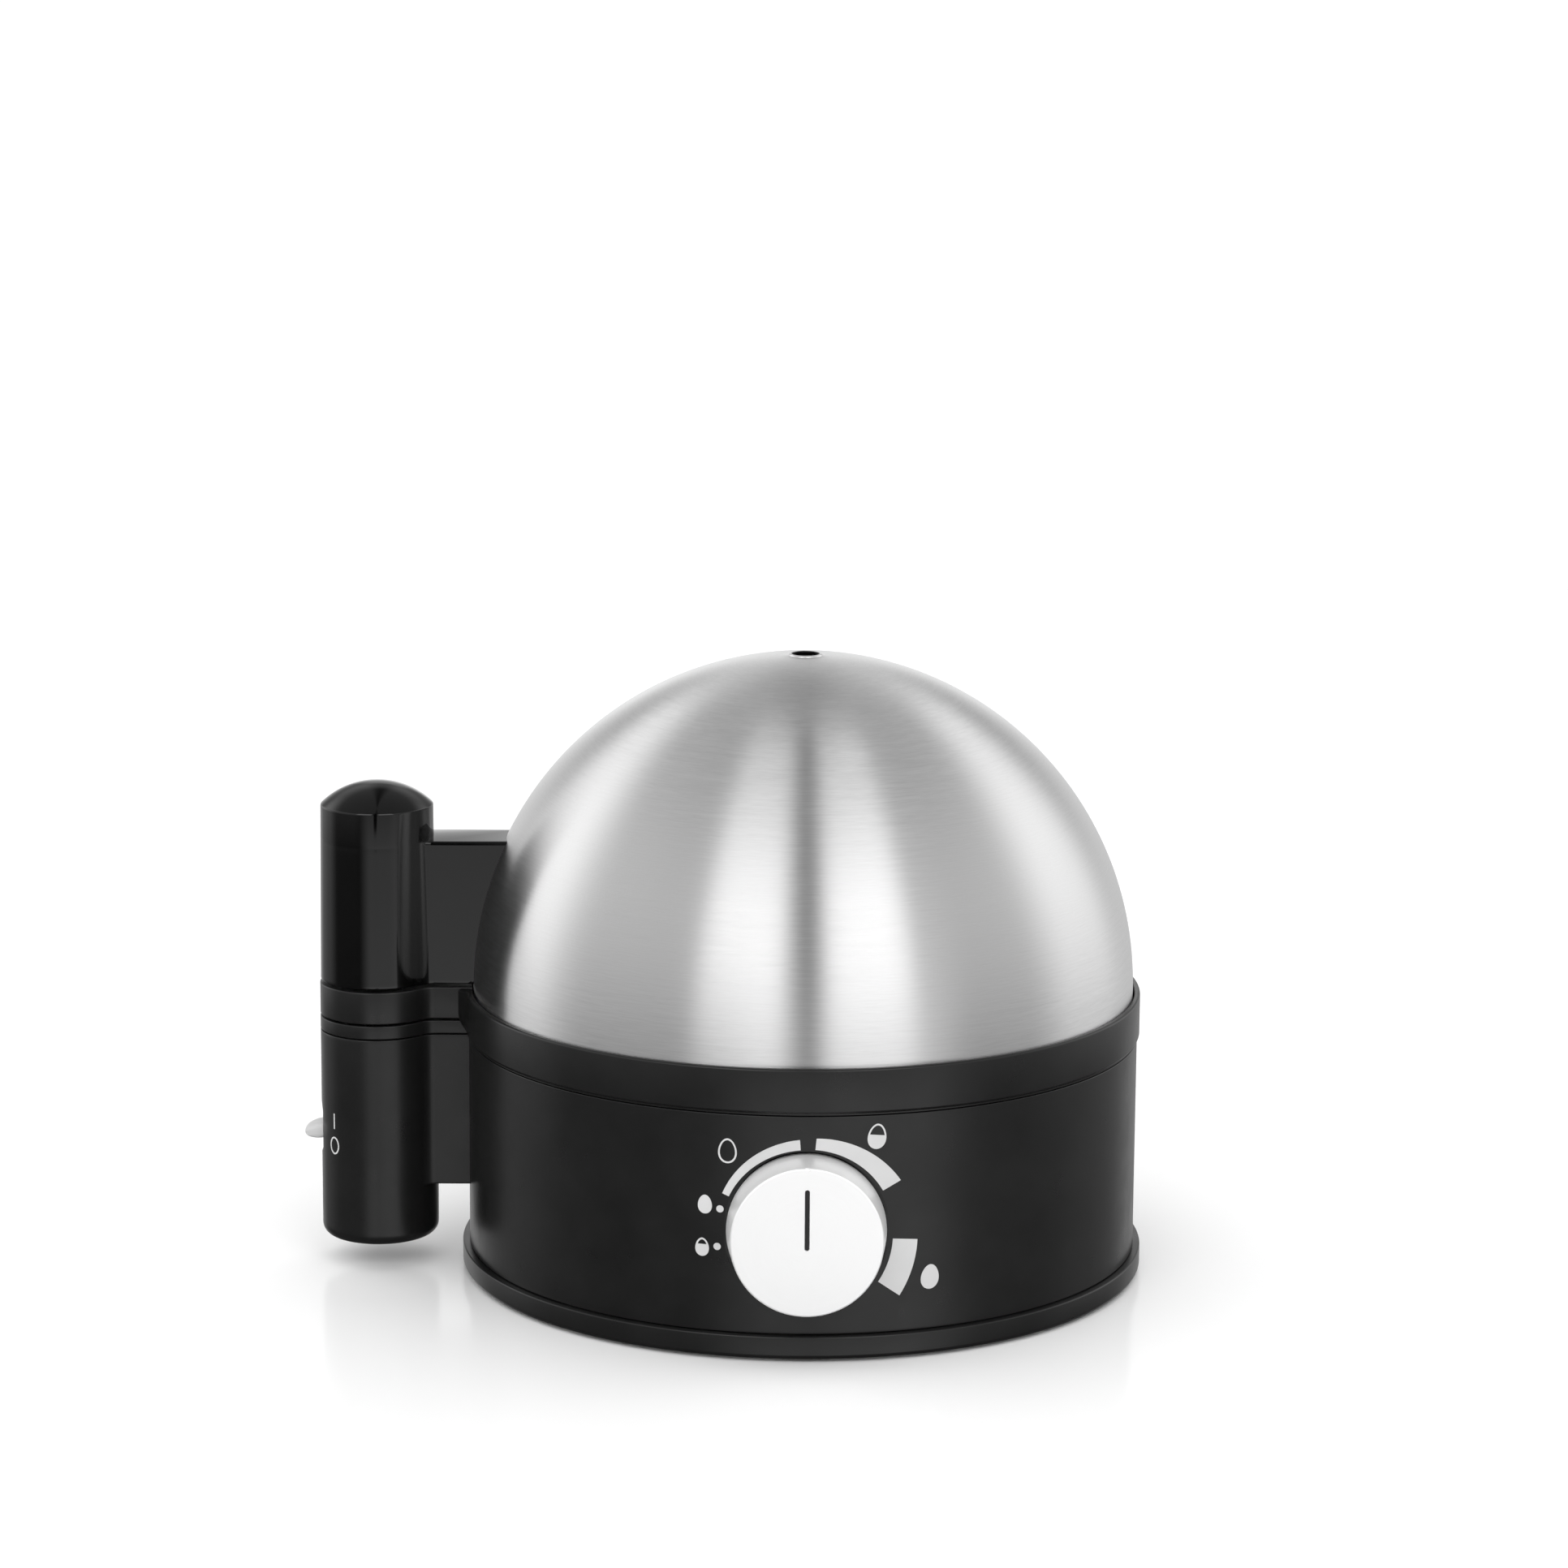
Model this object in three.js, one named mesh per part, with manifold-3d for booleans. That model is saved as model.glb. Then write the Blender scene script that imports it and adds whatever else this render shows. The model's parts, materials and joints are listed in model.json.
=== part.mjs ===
// An electric egg cooker: a round base with a dial and a side column, a lift-out tray with seven
// egg seats, and a stainless steel dome lid. The column's upper bands are the tray's and the
// lid's handles. Millimetres, +Z up. Shapes are drawn around the dome's axis, and the whole
// cooker is then shifted so that the origin is the middle of its footprint, on the table.

import * as THREE from 'three';
import { mergeVertices } from 'three/addons/utils/BufferGeometryUtils.js';
import Module from 'manifold-3d';

const wasm = await Module();
wasm.setup();

// ---- driving dimensions -------------------------------------------------------------------

const GAP = 0.3; // room between pieces that touch
const ROUND = 48; // sides of the large turned pieces
const COLUMN_SIDES = 28;
const SEAT_SIDES = 20;
const SMALL_SIDES = 12;
const HEX = 6;

const DOME = { radius: 84.7, centreZ: 74.5, sheet: 0.8, skirtZ: 67.3, ventRadius: 3.3, steps: 10 };
const BODY = { radius: 86, wall: 2, bottomZ: 6.9, topZ: 61.4 };
const LEDGE = { innerRadius: 76.8, bottomZ: 57, topZ: 58.6 };
const COLLAR = {
  radius: 86.6, innerRadius: 85.1, bottomZ: 61.7, topZ: 73.2, shelfZ: 64, lipRadius: 76.5, chamfer: 0.5,
};
const COLUMN = { x: -109.2, radius: 15, wall: 2.2, bottomZ: 6.8, edge: 3 };
const WEB = { half: 8, fillet: 5, bottomZ: 21.7, intoDomeX: -60, intoTrayX: -80, intoWallX: -85 };
const NOTCH = { half: 8.35, outerX: -95, innerX: -83.5 }; // in the collar, for the tray's web
const BAND = { topZ: 65.1 }; // the collar's own band on the column
const CHEEK = { x: 88.3, thickness: 0.9, rootX: 85.2 }; // the collar's lips beside the handle notch

const TRAY = {
  radius: 84.7, topZ: 67, flangeZ: 64.3, flangeInner: 76, plateZ: 65, handleBottomZ: 65.6,
  handleTopZ: 73.9, roof: 2,
};
const SEAT = { count: 6, pitchRadius: 50, radius: 18.2, mouthRadius: 20.4, lip: 1.4, lipZ: 62.2 };

const LID_HANDLE = {
  bottomRadius: 14.8, topRadius: 14.4, bottomZ: 74.7, creaseZ: 120.2, capRadius: 20.5, capSteps: 6,
};
const LID_WEB_TOP = 111.9;
const LID_PLUG = { radius: 11.9, bottomZ: 75, topZ: 77 };
const LID_SCREW_ANGLES = [7, 19]; // degrees above the dome's centre plane
const LID_SCREW_REACH = 94; // from the dome's centre to the screws' tips
const ACROSS_WALL = [80, 95]; // distances from the axis that span the dome's wall and the body's

const DIAL = { z: 32.5, pocketRadius: 20.2, pocketFloor: 83.7, bossRadius: 22.2, bossBack: 81.2 };
const KNOB = {
  front: 95, rear: 84.3, frontRadius: 18.5, rearRadius: 19.5, edge: 0.45, wall: 1.6, face: 1.8,
  hubRadius: 6.2,
};
const POINTER = { half: 0.5, low: -1.8, high: 13.1, depth: 0.4 };
const SHAFT = { radius: 3, back: 71.4, front: 92.4, flatY: 2.1, flatFrom: 87 };
const BUSHING = { radius: 4.6, front: 87 };
const REGULATOR = { half: 13, back: 70, front: 80.9, bladeX: [-8, 0, 8], bladeLength: 5 };
const DIAL_NUT = { radius: 7, front: 86.4 };

const PIVOT = { x: -116, z: 35.7, hubRadius: 3.4, hubHalf: 5, pinRadius: 1.2, pinHalf: 6.1 };
const LEVER = { reach: 12.64, rootX: 7.4, halfThickness: 2.2, halfWidth: 3.8, restAngle: 8.6 };
const SCOOP = { faceX: 123.6, lowZ: 28.5, highZ: 42.9 }; // flat around the lever
const SLOT = { outerX: -126, innerX: -119, lowZ: 31.2, highZ: 40.2 }; // the lever comes through it
const SWITCH = { backX: -101, frontX: -111.6, half: 6.2, bottomZ: 26, topZ: 45.4, bladeZ: [31, 40] };
const SWITCH_EAR = { frontX: -118, thickness: 0.9, bottomZ: 33, topZ: 38.4 };

const FLOOR = { bottomZ: 3.4, topZ: 5.4 };
const FOOTPRINT_RADIUS = 87.8; // the bulge of the ring round the bottom
const FOOT = { radius: 6.5, stem: 2, head: 3, pitchRadius: 70, count: 4 };
const SCREW = {
  radius: 1.5, headRadius: 3.2, headDepth: 1.6, pitchRadius: 81, count: 4, postRadius: 4.2, postTop: 30,
  tipZ: 20.8,
};
const GLAND = { z: 20, bore: 3.4, radius: 4.9, flangeRadius: 7, inner: 79, outer: 87.5 };

const DISH = { floorZ: 50.2, sheet: 1, rimZ: 61.4, rimRadius: 83.4 };
const GASKET = { innerRadius: 77.4, radius: 83.2 };
const STUD = { radius: 2, x: 22, bottomZ: 27, room: 0.4, nutRadius: 4, nutZ: [28.2, 30.6] };
const ELEMENT = { radius: 46, tube: 3.3, z: 45.6, openAngle: 25, endZ: 26 };
const SHIELD = { bottomZ: 31, sheet: 0.8, holeRadius: 6, radius: 62, rimRadius: 65, rimZ: 36.7 };
const STRAP = { bottomZ: 39.5, topZ: 40.7, halfX: 28, halfY: 6 };
const THERMOSTAT = { bottomZ: 41, radius: 10, flangeZ: 46.4, flangeRadius: 11.5, topZ: 48.8 };
const FUSE = { radius: 1.9, half: 8, x: 10, z: 37.2 };
const BOARD = { halfX: 34, lowY: 14, highY: 58, bottomZ: 11, topZ: 12.6 };
const STANDOFF = { radius: 2.5, x: 30, y: [18, 54] };
const VENTS = { x: [-24, -12, 0, 12, 24], half: 1.6, y: [-44, -16] }; // slots in the bottom
const RELAY = { x: [-26, -10], y: [26, 46], topZ: 27 };
const TERMINALS = { x: [2, 24], y: [46, 56], topZ: 24 };
const BUZZER = { x: 6, y: 30, hole: 1.2, radius: 6.5, topZ: 20 };
const LEAD_RADIUS = 1.1;

// ---- solids ---------------------------------------------------------------------------------

// A closed geometry as a solid that can be joined and cut, with its faces pointing out.
function solid(geometry) {
  const bare = geometry.clone();
  bare.deleteAttribute('normal');
  bare.deleteAttribute('uv');
  const merged = mergeVertices(bare);
  const position = merged.attributes.position;
  const corner = (i) => new THREE.Vector3().fromBufferAttribute(position, i);
  const triangles = [];
  let volume = 0;
  for (let i = 0; i < merged.index.count; i += 3) {
    const [a, b, c] = [0, 1, 2].map((k) => merged.index.getX(i + k));
    if (a === b || b === c || c === a) continue;
    triangles.push([a, b, c]);
    volume += corner(a).dot(corner(b).cross(corner(c)));
  }
  if (volume < 0) triangles.forEach((triangle) => triangle.reverse());
  return new wasm.Manifold(new wasm.Mesh({
    numProp: 3,
    vertProperties: new Float32Array(position.array),
    triVerts: new Uint32Array(triangles.flat()),
  }));
}

const asSolid = (shape) => (shape.isBufferGeometry ? solid(shape) : shape);
const join = (first, ...rest) => rest.reduce((sum, next) => sum.add(asSolid(next)), asSolid(first));
const cut = (first, ...rest) => rest.reduce((left, next) => left.subtract(asSolid(next)), asSolid(first));
const common = (first, second) => asSolid(first).intersect(asSolid(second));

// A closed outline of [radius, z] points turned around Z.
function turned(outline, sides = ROUND) {
  const points = [...outline, outline[0]].map(([r, z]) => new THREE.Vector2(r, z));
  return new THREE.LatheGeometry(points, sides).rotateX(Math.PI / 2);
}

const disc = (radius, low, high, sides = SMALL_SIDES) =>
  turned([[0, low], [radius, low], [radius, high], [0, high]], sides);

const tube = (bore, radius, low, high, sides = SMALL_SIDES) =>
  turned([[bore, low], [radius, low], [radius, high], [bore, high]], sides);

function box([x0, x1], [y0, y1], [z0, z1]) {
  const geometry = new THREE.BoxGeometry(x1 - x0, y1 - y0, z1 - z0);
  return geometry.translate((x0 + x1) / 2, (y0 + y1) / 2, (z0 + z1) / 2);
}

function prism(shape, low, high, curveSegments = 6) {
  const settings = { depth: high - low, bevelEnabled: false, curveSegments };
  return new THREE.ExtrudeGeometry(shape, settings).translate(0, 0, low);
}

// A round wire of a few sides along a smooth line through the points.
function wire(points, radius, steps, sides = 6) {
  const path = new THREE.CatmullRomCurve3(points.map((p) => new THREE.Vector3(...p)), false, 'centripetal');
  const section = new THREE.Shape();
  for (let i = 0; i < sides; i++) {
    const angle = (2 * Math.PI * i) / sides;
    section[i ? 'lineTo' : 'moveTo'](radius * Math.cos(angle), radius * Math.sin(angle));
  }
  return new THREE.ExtrudeGeometry(section, { steps, extrudePath: path, bevelEnabled: false });
}

// Places around the dome's axis, at equal angles.
function around(count, radius, firstDegrees = 0) {
  return Array.from({ length: count }, (_, i) => {
    const angle = THREE.MathUtils.degToRad(firstDegrees + (360 * i) / count);
    return [radius * Math.cos(angle), radius * Math.sin(angle)];
  });
}

// ---- the scene graph ------------------------------------------------------------------------

const FINISHES = {
  brushedSteel: { color: 0xb9b8b7, roughness: 0.3, metalness: 1 },
  glossBlack: { color: 0x0a0a0a, roughness: 0.12, metalness: 0 },
  satinBlack: { color: 0x1c1c1d, roughness: 0.48, metalness: 0 },
  knobSilver: { color: 0xe4e4e4, roughness: 0.35, metalness: 1 },
  pointerBlack: { color: 0x0c0c0c, roughness: 0.5, metalness: 0 },
  leverGrey: { color: 0xc9c9c7, roughness: 0.4, metalness: 0 },
  dishSteel: { color: 0xc4c3c0, roughness: 0.28, metalness: 1 },
  zinc: { color: 0xa9a9a4, roughness: 0.4, metalness: 1 },
  elementSteel: { color: 0x6d6a64, roughness: 0.5, metalness: 1 },
  silicone: { color: 0xa8a39b, roughness: 0.7, metalness: 0 },
  rubber: { color: 0x161616, roughness: 0.85, metalness: 0 },
  ceramicWhite: { color: 0xe6e1d4, roughness: 0.6, metalness: 0 },
  darkBakelite: { color: 0x2b2420, roughness: 0.5, metalness: 0 },
  boardGreen: { color: 0x1f5a35, roughness: 0.45, metalness: 0 },
  leadBrown: { color: 0x6a3a1e, roughness: 0.5, metalness: 0 },
  leadBlue: { color: 0x2a4f9a, roughness: 0.5, metalness: 0 },
};

function piece(parent, name, shape, finish) {
  const { vertProperties, triVerts } = asSolid(shape).getMesh();
  const geometry = new THREE.BufferGeometry();
  geometry.setAttribute('position', new THREE.BufferAttribute(vertProperties, 3));
  geometry.setIndex(new THREE.BufferAttribute(triVerts, 1));
  geometry.computeVertexNormals();
  const mesh = new THREE.Mesh(geometry, new THREE.MeshStandardMaterial(FINISHES[finish]));
  mesh.name = name;
  parent.add(mesh);
  return mesh;
}

function group(parent, x = 0, y = 0, z = 0) {
  const child = new THREE.Group();
  child.position.set(x, y, z);
  parent.add(child);
  return child;
}

// ---- shapes that several pieces share ---------------------------------------------------------

// Points down a dome's arc, from the edge of its vent to its widest place.
function domeArc(radius) {
  const first = Math.asin(DOME.ventRadius / DOME.radius);
  return Array.from({ length: DOME.steps + 1 }, (_, i) => {
    const angle = first + ((Math.PI / 2 - first) * i) / DOME.steps;
    return [radius * Math.sin(angle), DOME.centreZ + radius * Math.cos(angle)];
  });
}

// A solid of the dome's outside, made larger by a margin.
function domeBody(margin) {
  const radius = DOME.radius + margin;
  const low = DOME.skirtZ - margin;
  return turned([[0, low], [radius, low], ...domeArc(radius).reverse(), [0, DOME.centreZ + radius]]);
}

// Plan of a column and the web that runs from it to the body, with a hollow fillet on each side.
function columnAndWeb(radius, endX) {
  const { half, fillet } = WEB;
  const filletX = Math.sqrt((radius + fillet) ** 2 - (half + fillet) ** 2);
  const meet = Math.atan2(half + fillet, filletX);
  const shape = new THREE.Shape();
  shape.absarc(COLUMN.x, 0, radius, meet, 2 * Math.PI - meet, false);
  shape.absarc(COLUMN.x + filletX, -half - fillet, fillet, Math.PI - meet, Math.PI / 2, true);
  shape.lineTo(endX, -half);
  shape.lineTo(endX, half);
  shape.absarc(COLUMN.x + filletX, half + fillet, fillet, -Math.PI / 2, meet - Math.PI, true);
  return shape;
}

const onColumn = (geometry) => geometry.translate(COLUMN.x, 0, 0);

// A shape drawn along +Z from the dome's axis, turned to point out of the body at the dial.
const atDial = (geometry) => geometry.rotateX(Math.PI / 2).translate(0, 0, DIAL.z);

// A shape drawn along +Z from the dome's centre, turned towards the handle and up by an angle.
const throughDome = (geometry, degrees) =>
  geometry.rotateY(THREE.MathUtils.degToRad(degrees - 90)).translate(0, 0, DOME.centreZ);

const screwBore = () => disc(SCREW.radius + GAP, ...ACROSS_WALL);

// A bar along Y through the lever's pivot.
const atPivot = (radius, half) =>
  disc(radius, -half, half).rotateX(Math.PI / 2).translate(PIVOT.x, 0, PIVOT.z);

// ---- lid --------------------------------------------------------------------------------------

function lidDome() {
  const outside = domeArc(DOME.radius);
  const inside = domeArc(DOME.radius - DOME.sheet);
  const skirt = [[DOME.radius, DOME.skirtZ], [DOME.radius - DOME.sheet, DOME.skirtZ]];
  const shell = turned([...outside, ...skirt, ...inside.reverse()]);
  const holes = LID_SCREW_ANGLES.map((angle) => throughDome(screwBore(), angle));
  return cut(shell, ...holes);
}

function lidHandle() {
  const { bottomRadius, topRadius, bottomZ, creaseZ, capRadius, capSteps } = LID_HANDLE;
  const capCentre = creaseZ - Math.sqrt(capRadius ** 2 - topRadius ** 2);
  const capAngle = Math.asin(topRadius / capRadius);
  const cap = Array.from({ length: capSteps + 1 }, (_, i) => {
    const angle = capAngle * (1 - i / capSteps);
    return [capRadius * Math.sin(angle), capCentre + capRadius * Math.cos(angle)];
  });
  const rim = [[0, bottomZ], [bottomRadius - 0.3, bottomZ], [bottomRadius, bottomZ + 0.3]];
  const grip = onColumn(turned([...rim, ...cap], COLUMN_SIDES));
  const plan = columnAndWeb((bottomRadius + topRadius) / 2 - 0.1, WEB.intoDomeX);
  const web = prism(plan, bottomZ, LID_WEB_TOP);
  const hollow = onColumn(disc(LID_PLUG.radius + GAP, bottomZ - 1, LID_WEB_TOP, COLUMN_SIDES));
  const pilots = LID_SCREW_ANGLES.map((angle) => throughDome(screwBore(), angle));
  return cut(join(grip, web), hollow, domeBody(GAP), ...pilots);
}

function handleScrew() {
  const headTop = DOME.radius - DOME.sheet - 2 * GAP;
  const headBottom = headTop - SCREW.headDepth;
  const head = [[0, headBottom], [SCREW.headRadius, headBottom], [SCREW.headRadius, headTop]];
  const thread = [[SCREW.radius, headTop], [SCREW.radius, LID_SCREW_REACH], [0, LID_SCREW_REACH]];
  return turned([...head, ...thread], SMALL_SIDES);
}

// ---- tray -------------------------------------------------------------------------------------

function eggTray() {
  const { radius, topZ, flangeZ, flangeInner, plateZ, handleBottomZ, handleTopZ, roof } = TRAY;
  const flange = [[flangeInner, plateZ], [flangeInner + 1, flangeZ], [radius, flangeZ], [radius, topZ]];
  const plate = turned([[0, plateZ], ...flange, [0, topZ]]);
  const seats = [[0, 0], ...around(SEAT.count, SEAT.pitchRadius)];
  const lips = seats.map(([x, y]) =>
    disc(SEAT.radius + SEAT.lip, SEAT.lipZ, plateZ + 0.5, SEAT_SIDES).translate(x, y, 0));
  const mouth = [[0, SEAT.lipZ - 1], [SEAT.radius, SEAT.lipZ - 1], [SEAT.radius, plateZ - 0.6],
    [SEAT.mouthRadius, topZ], [SEAT.mouthRadius, topZ + 1], [0, topZ + 1]];
  const mouths = seats.map(([x, y]) => turned(mouth, SEAT_SIDES).translate(x, y, 0));
  const handle = prism(columnAndWeb(COLUMN.radius, WEB.intoTrayX), handleBottomZ, handleTopZ);
  const underLid = disc(COLLAR.innerRadius, topZ, handleTopZ + 1, ROUND);
  const room = disc(COLUMN.radius - COLUMN.wall, handleBottomZ - 1, handleTopZ - roof, COLUMN_SIDES);
  return cut(join(plate, ...lips, cut(handle, underLid)), ...mouths, onColumn(room));
}

// ---- base -------------------------------------------------------------------------------------

// The lip beside the handle notch, with a hollow fillet that runs out on the collar's wall.
function cheek(side) {
  const inner = NOTCH.half;
  const outer = inner + CHEEK.thickness;
  const fillet = (CHEEK.x ** 2 + outer ** 2 - COLLAR.radius ** 2) / (2 * (COLLAR.radius - outer));
  const wallAngle = Math.atan2(outer + fillet, CHEEK.x);
  const shape = new THREE.Shape();
  shape.moveTo(CHEEK.rootX, inner);
  shape.lineTo(CHEEK.x, inner);
  shape.absarc(CHEEK.x, outer + fillet, fillet, -Math.PI / 2, wallAngle - Math.PI, true);
  shape.lineTo(CHEEK.rootX, outer + fillet);
  return prism(shape, COLLAR.bottomZ, COLLAR.topZ, 4).scale(-1, side, 1);
}

function collarRing() {
  const { radius, innerRadius, bottomZ, topZ, shelfZ, lipRadius, chamfer } = COLLAR;
  const step = [[BODY.radius, bottomZ], [BODY.radius, bottomZ + 0.4], [radius, bottomZ + 0.9]];
  const edge = [[radius, topZ - chamfer], [radius - chamfer, topZ], [innerRadius + 0.4, topZ],
    [innerRadius, topZ - 0.4]];
  const shelf = [[innerRadius, shelfZ], [lipRadius, shelfZ], [lipRadius, bottomZ]];
  const wall = turned([...step, ...edge, ...shelf]);
  const band = prism(columnAndWeb(COLUMN.radius, NOTCH.innerX + 0.5), bottomZ, BAND.topZ);
  const notch = box([NOTCH.outerX, NOTCH.innerX], [-NOTCH.half, NOTCH.half], [BAND.topZ, topZ + 1]);
  const shelfRoom = disc(innerRadius - 0.01, shelfZ, topZ + 1, ROUND);
  return cut(join(wall, cut(band, shelfRoom), cheek(1), cheek(-1)), notch);
}

function baseHousing() {
  const { radius, wall, bottomZ, topZ } = BODY;
  const inside = radius - wall;
  const ledge = [[inside, LEDGE.topZ], [LEDGE.innerRadius, LEDGE.topZ], [LEDGE.innerRadius, LEDGE.bottomZ],
    [inside, LEDGE.bottomZ]];
  const shell = turned([[radius, bottomZ], [radius, topZ], [inside, topZ], ...ledge, [inside, bottomZ]]);
  const web = prism(columnAndWeb(COLUMN.radius, WEB.intoWallX), WEB.bottomZ, topZ);
  const corner = cornerArc(COLUMN.radius, COLUMN.bottomZ, COLUMN.edge);
  const outline = [[0, COLUMN.bottomZ], ...corner, [COLUMN.radius, topZ], [0, topZ]];
  const column = onColumn(turned(outline, COLUMN_SIDES));
  const boss = common(atDial(disc(DIAL.bossRadius, DIAL.bossBack, radius, COLUMN_SIDES)),
    disc(radius - 0.6, 0, topZ, ROUND));
  const posts = screwPlaces.map(([x, y]) =>
    disc(SCREW.postRadius, bottomZ, SCREW.postTop).translate(x, y, 0));

  const roomRadius = COLUMN.radius - COLUMN.wall;
  const columnRoom = onColumn(disc(roomRadius, COLUMN.bottomZ + COLUMN.edge, topZ + 1, COLUMN_SIDES));
  const webInside = WEB.half - COLUMN.wall;
  const webFloor = WEB.bottomZ + COLUMN.wall;
  const webRoom = box([COLUMN.x + 5, -radius - 1.8], [-webInside, webInside], [webFloor, topZ + 1]);
  const passage = box([COLUMN.x + 5, 2 - inside], [-webInside, webInside], [webFloor, DISH.floorZ]);
  const pocket = atDial(disc(DIAL.pocketRadius, DIAL.pocketFloor, radius + 4, COLUMN_SIDES));
  const bushingHole = atDial(disc(BUSHING.radius + 0.35, DIAL.bossBack - 2, radius + 1));
  const slotHalf = LEVER.halfWidth + 0.4;
  const slot = box([SLOT.outerX, SLOT.innerX], [-slotHalf, slotHalf], [SLOT.lowZ, SLOT.highZ]);
  const pilots = screwPlaces.map(([x, y]) => disc(SCREW.radius + GAP, bottomZ - 1, 22).translate(x, y, 0));
  const glandBore = disc(GLAND.radius + GAP, ...ACROSS_WALL);
  const glandHole = glandBore.rotateX(-Math.PI / 2).translate(0, 0, GLAND.z);
  return cut(join(shell, web, column, boss, ...posts), columnRoom, webRoom, passage, pocket, bushingHole,
    slot, scoop(), ...pilots, glandHole);
}

// A quarter round at the bottom edge of a turned piece.
function cornerArc(radius, bottomZ, edge) {
  return [0, 1, 2, 3, 4].map((i) => {
    const angle = (Math.PI / 2) * (i / 4);
    return [radius - edge + edge * Math.sin(angle), bottomZ + edge - edge * Math.cos(angle)];
  });
}

// The shallow flat on the column's outer side, with sloped ends, drawn in the X-Z plane.
function scoop() {
  const { faceX, lowZ, highZ } = SCOOP;
  const surface = Math.abs(COLUMN.x) + COLUMN.radius;
  const shape = new THREE.Shape();
  shape.moveTo(-surface - 0.1, lowZ - 0.2);
  shape.lineTo(-faceX, lowZ + 1.6);
  shape.lineTo(-faceX, highZ - 2.8);
  shape.lineTo(-surface - 0.1, highZ + 0.4);
  return prism(shape, -9, 9).rotateX(Math.PI / 2);
}

const studPlaces = [-STUD.x, STUD.x];

function heatingPlate() {
  const { floorZ, sheet, rimZ, rimRadius } = DISH;
  const inside = [[75.4, rimZ], [69.5, floorZ + 1.4], [66, floorZ + 0.2], [0, floorZ]];
  const bottom = floorZ - sheet;
  const underside = [[0, bottom], [66.4, bottom + 0.2], [70.4, bottom + 1.7], [76.1, rimZ - 0.9]];
  const dish = turned([[rimRadius, rimZ - 0.9], [rimRadius, rimZ], ...inside, ...underside]);
  const studs = studPlaces.map((x) =>
    disc(STUD.radius, STUD.bottomZ, floorZ - sheet / 2).translate(x, 0, 0));
  return join(dish, ...studs);
}

function heatingElement() {
  const { radius, tube: tubeRadius, z, openAngle, endZ } = ELEMENT;
  const at = (degrees, height) => {
    const angle = THREE.MathUtils.degToRad(degrees);
    return [radius * Math.cos(angle), radius * Math.sin(angle), height];
  };
  const upright = [endZ, 33, 40].map((height) => at(elementEndAngle, height));
  const end = [...upright, at(openAngle - 4.5, 44.4)];
  const ring = Array.from({ length: 25 }, (_, i) => at(openAngle + 3 + ((354 - 2 * openAngle) * i) / 24, z));
  const farEnd = end.map(([x, y, height]) => [x, -y, height]).reverse();
  return wire([...end, ...ring, ...farEnd], tubeRadius, 44, 8);
}

const elementEndAngle = ELEMENT.openAngle - 7;

function elementEnds() {
  const angle = THREE.MathUtils.degToRad(elementEndAngle);
  return [1, -1].map((side) => [ELEMENT.radius * Math.cos(angle), side * ELEMENT.radius * Math.sin(angle)]);
}

function heatShield() {
  const { bottomZ, sheet, holeRadius, radius, rimRadius, rimZ } = SHIELD;
  const across = [bottomZ - 1, bottomZ + sheet + 1];
  const pan = turned([[holeRadius, bottomZ], [radius, bottomZ], [rimRadius, rimZ], [rimRadius - 0.9, rimZ],
    [radius - 0.6, bottomZ + sheet], [holeRadius, bottomZ + sheet]], 32);
  const studHoles = studPlaces.map((x) => disc(STUD.radius + STUD.room, ...across).translate(x, 0, 0));
  const endHoles = elementEnds().map(([x, y]) => disc(ELEMENT.tube + 1.7, ...across).translate(x, y, 0));
  return cut(pan, ...studHoles, ...endHoles);
}

function thermostat() {
  const { bottomZ, radius, flangeZ, flangeRadius, topZ } = THERMOSTAT;
  const body = turned([[0, bottomZ], [radius, bottomZ], [radius, flangeZ], [flangeRadius, flangeZ],
    [flangeRadius, topZ], [0, topZ]], 24);
  const blade = (side) => box([-3, 3], side > 0 ? [9, 17] : [-17, -9], [42.5, 43.3]);
  return join(body, blade(1), blade(-1));
}

function thermostatStrap() {
  const strap = box([-STRAP.halfX, STRAP.halfX], [-STRAP.halfY, STRAP.halfY], [STRAP.bottomZ, STRAP.topZ]);
  const across = [STRAP.bottomZ - 1, STRAP.topZ + 1];
  const holes = studPlaces.map((x) => disc(STUD.radius + STUD.room, ...across).translate(x, 0, 0));
  return cut(strap, ...holes);
}

function bottomPlate() {
  const { bottomZ, topZ } = FLOOR;
  const skirt = [[80, bottomZ], [81.2, 1.1], [84.9, 0.8], [86.7, 1.8], [FOOTPRINT_RADIUS, 4], [87.35, 5.1],
    [87.3, 6.2], [86.9, 6.6], [84.6, 6.6], [84.6, topZ]];
  const plate = turned([[0, bottomZ], ...skirt, [0, topZ]]);
  const standoffs = [-1, 1].flatMap((side) => STANDOFF.y.map((y) =>
    disc(STANDOFF.radius, topZ - 0.5, BOARD.bottomZ - GAP).translate(side * STANDOFF.x, y, 0)));
  const across = [0, topZ + 1.6];
  const footHoles = footPlaces.map(([x, y]) => disc(FOOT.stem + GAP, ...across).translate(x, y, 0));
  const screwHoles = screwPlaces.map(([x, y]) => disc(SCREW.radius + GAP, ...across).translate(x, y, 0));
  const screwSeats = screwPlaces.map(([x, y]) => disc(SCREW.headRadius + 0.5, 0, bottomZ).translate(x, y, 0));
  const vents = VENTS.x.map((x) => box([x - VENTS.half, x + VENTS.half], VENTS.y, across));
  return cut(join(plate, ...standoffs), ...footHoles, ...screwHoles, ...screwSeats, ...vents);
}

const footPlaces = around(FOOT.count, FOOT.pitchRadius);
const screwPlaces = around(SCREW.count, SCREW.pitchRadius, 45);

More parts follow.
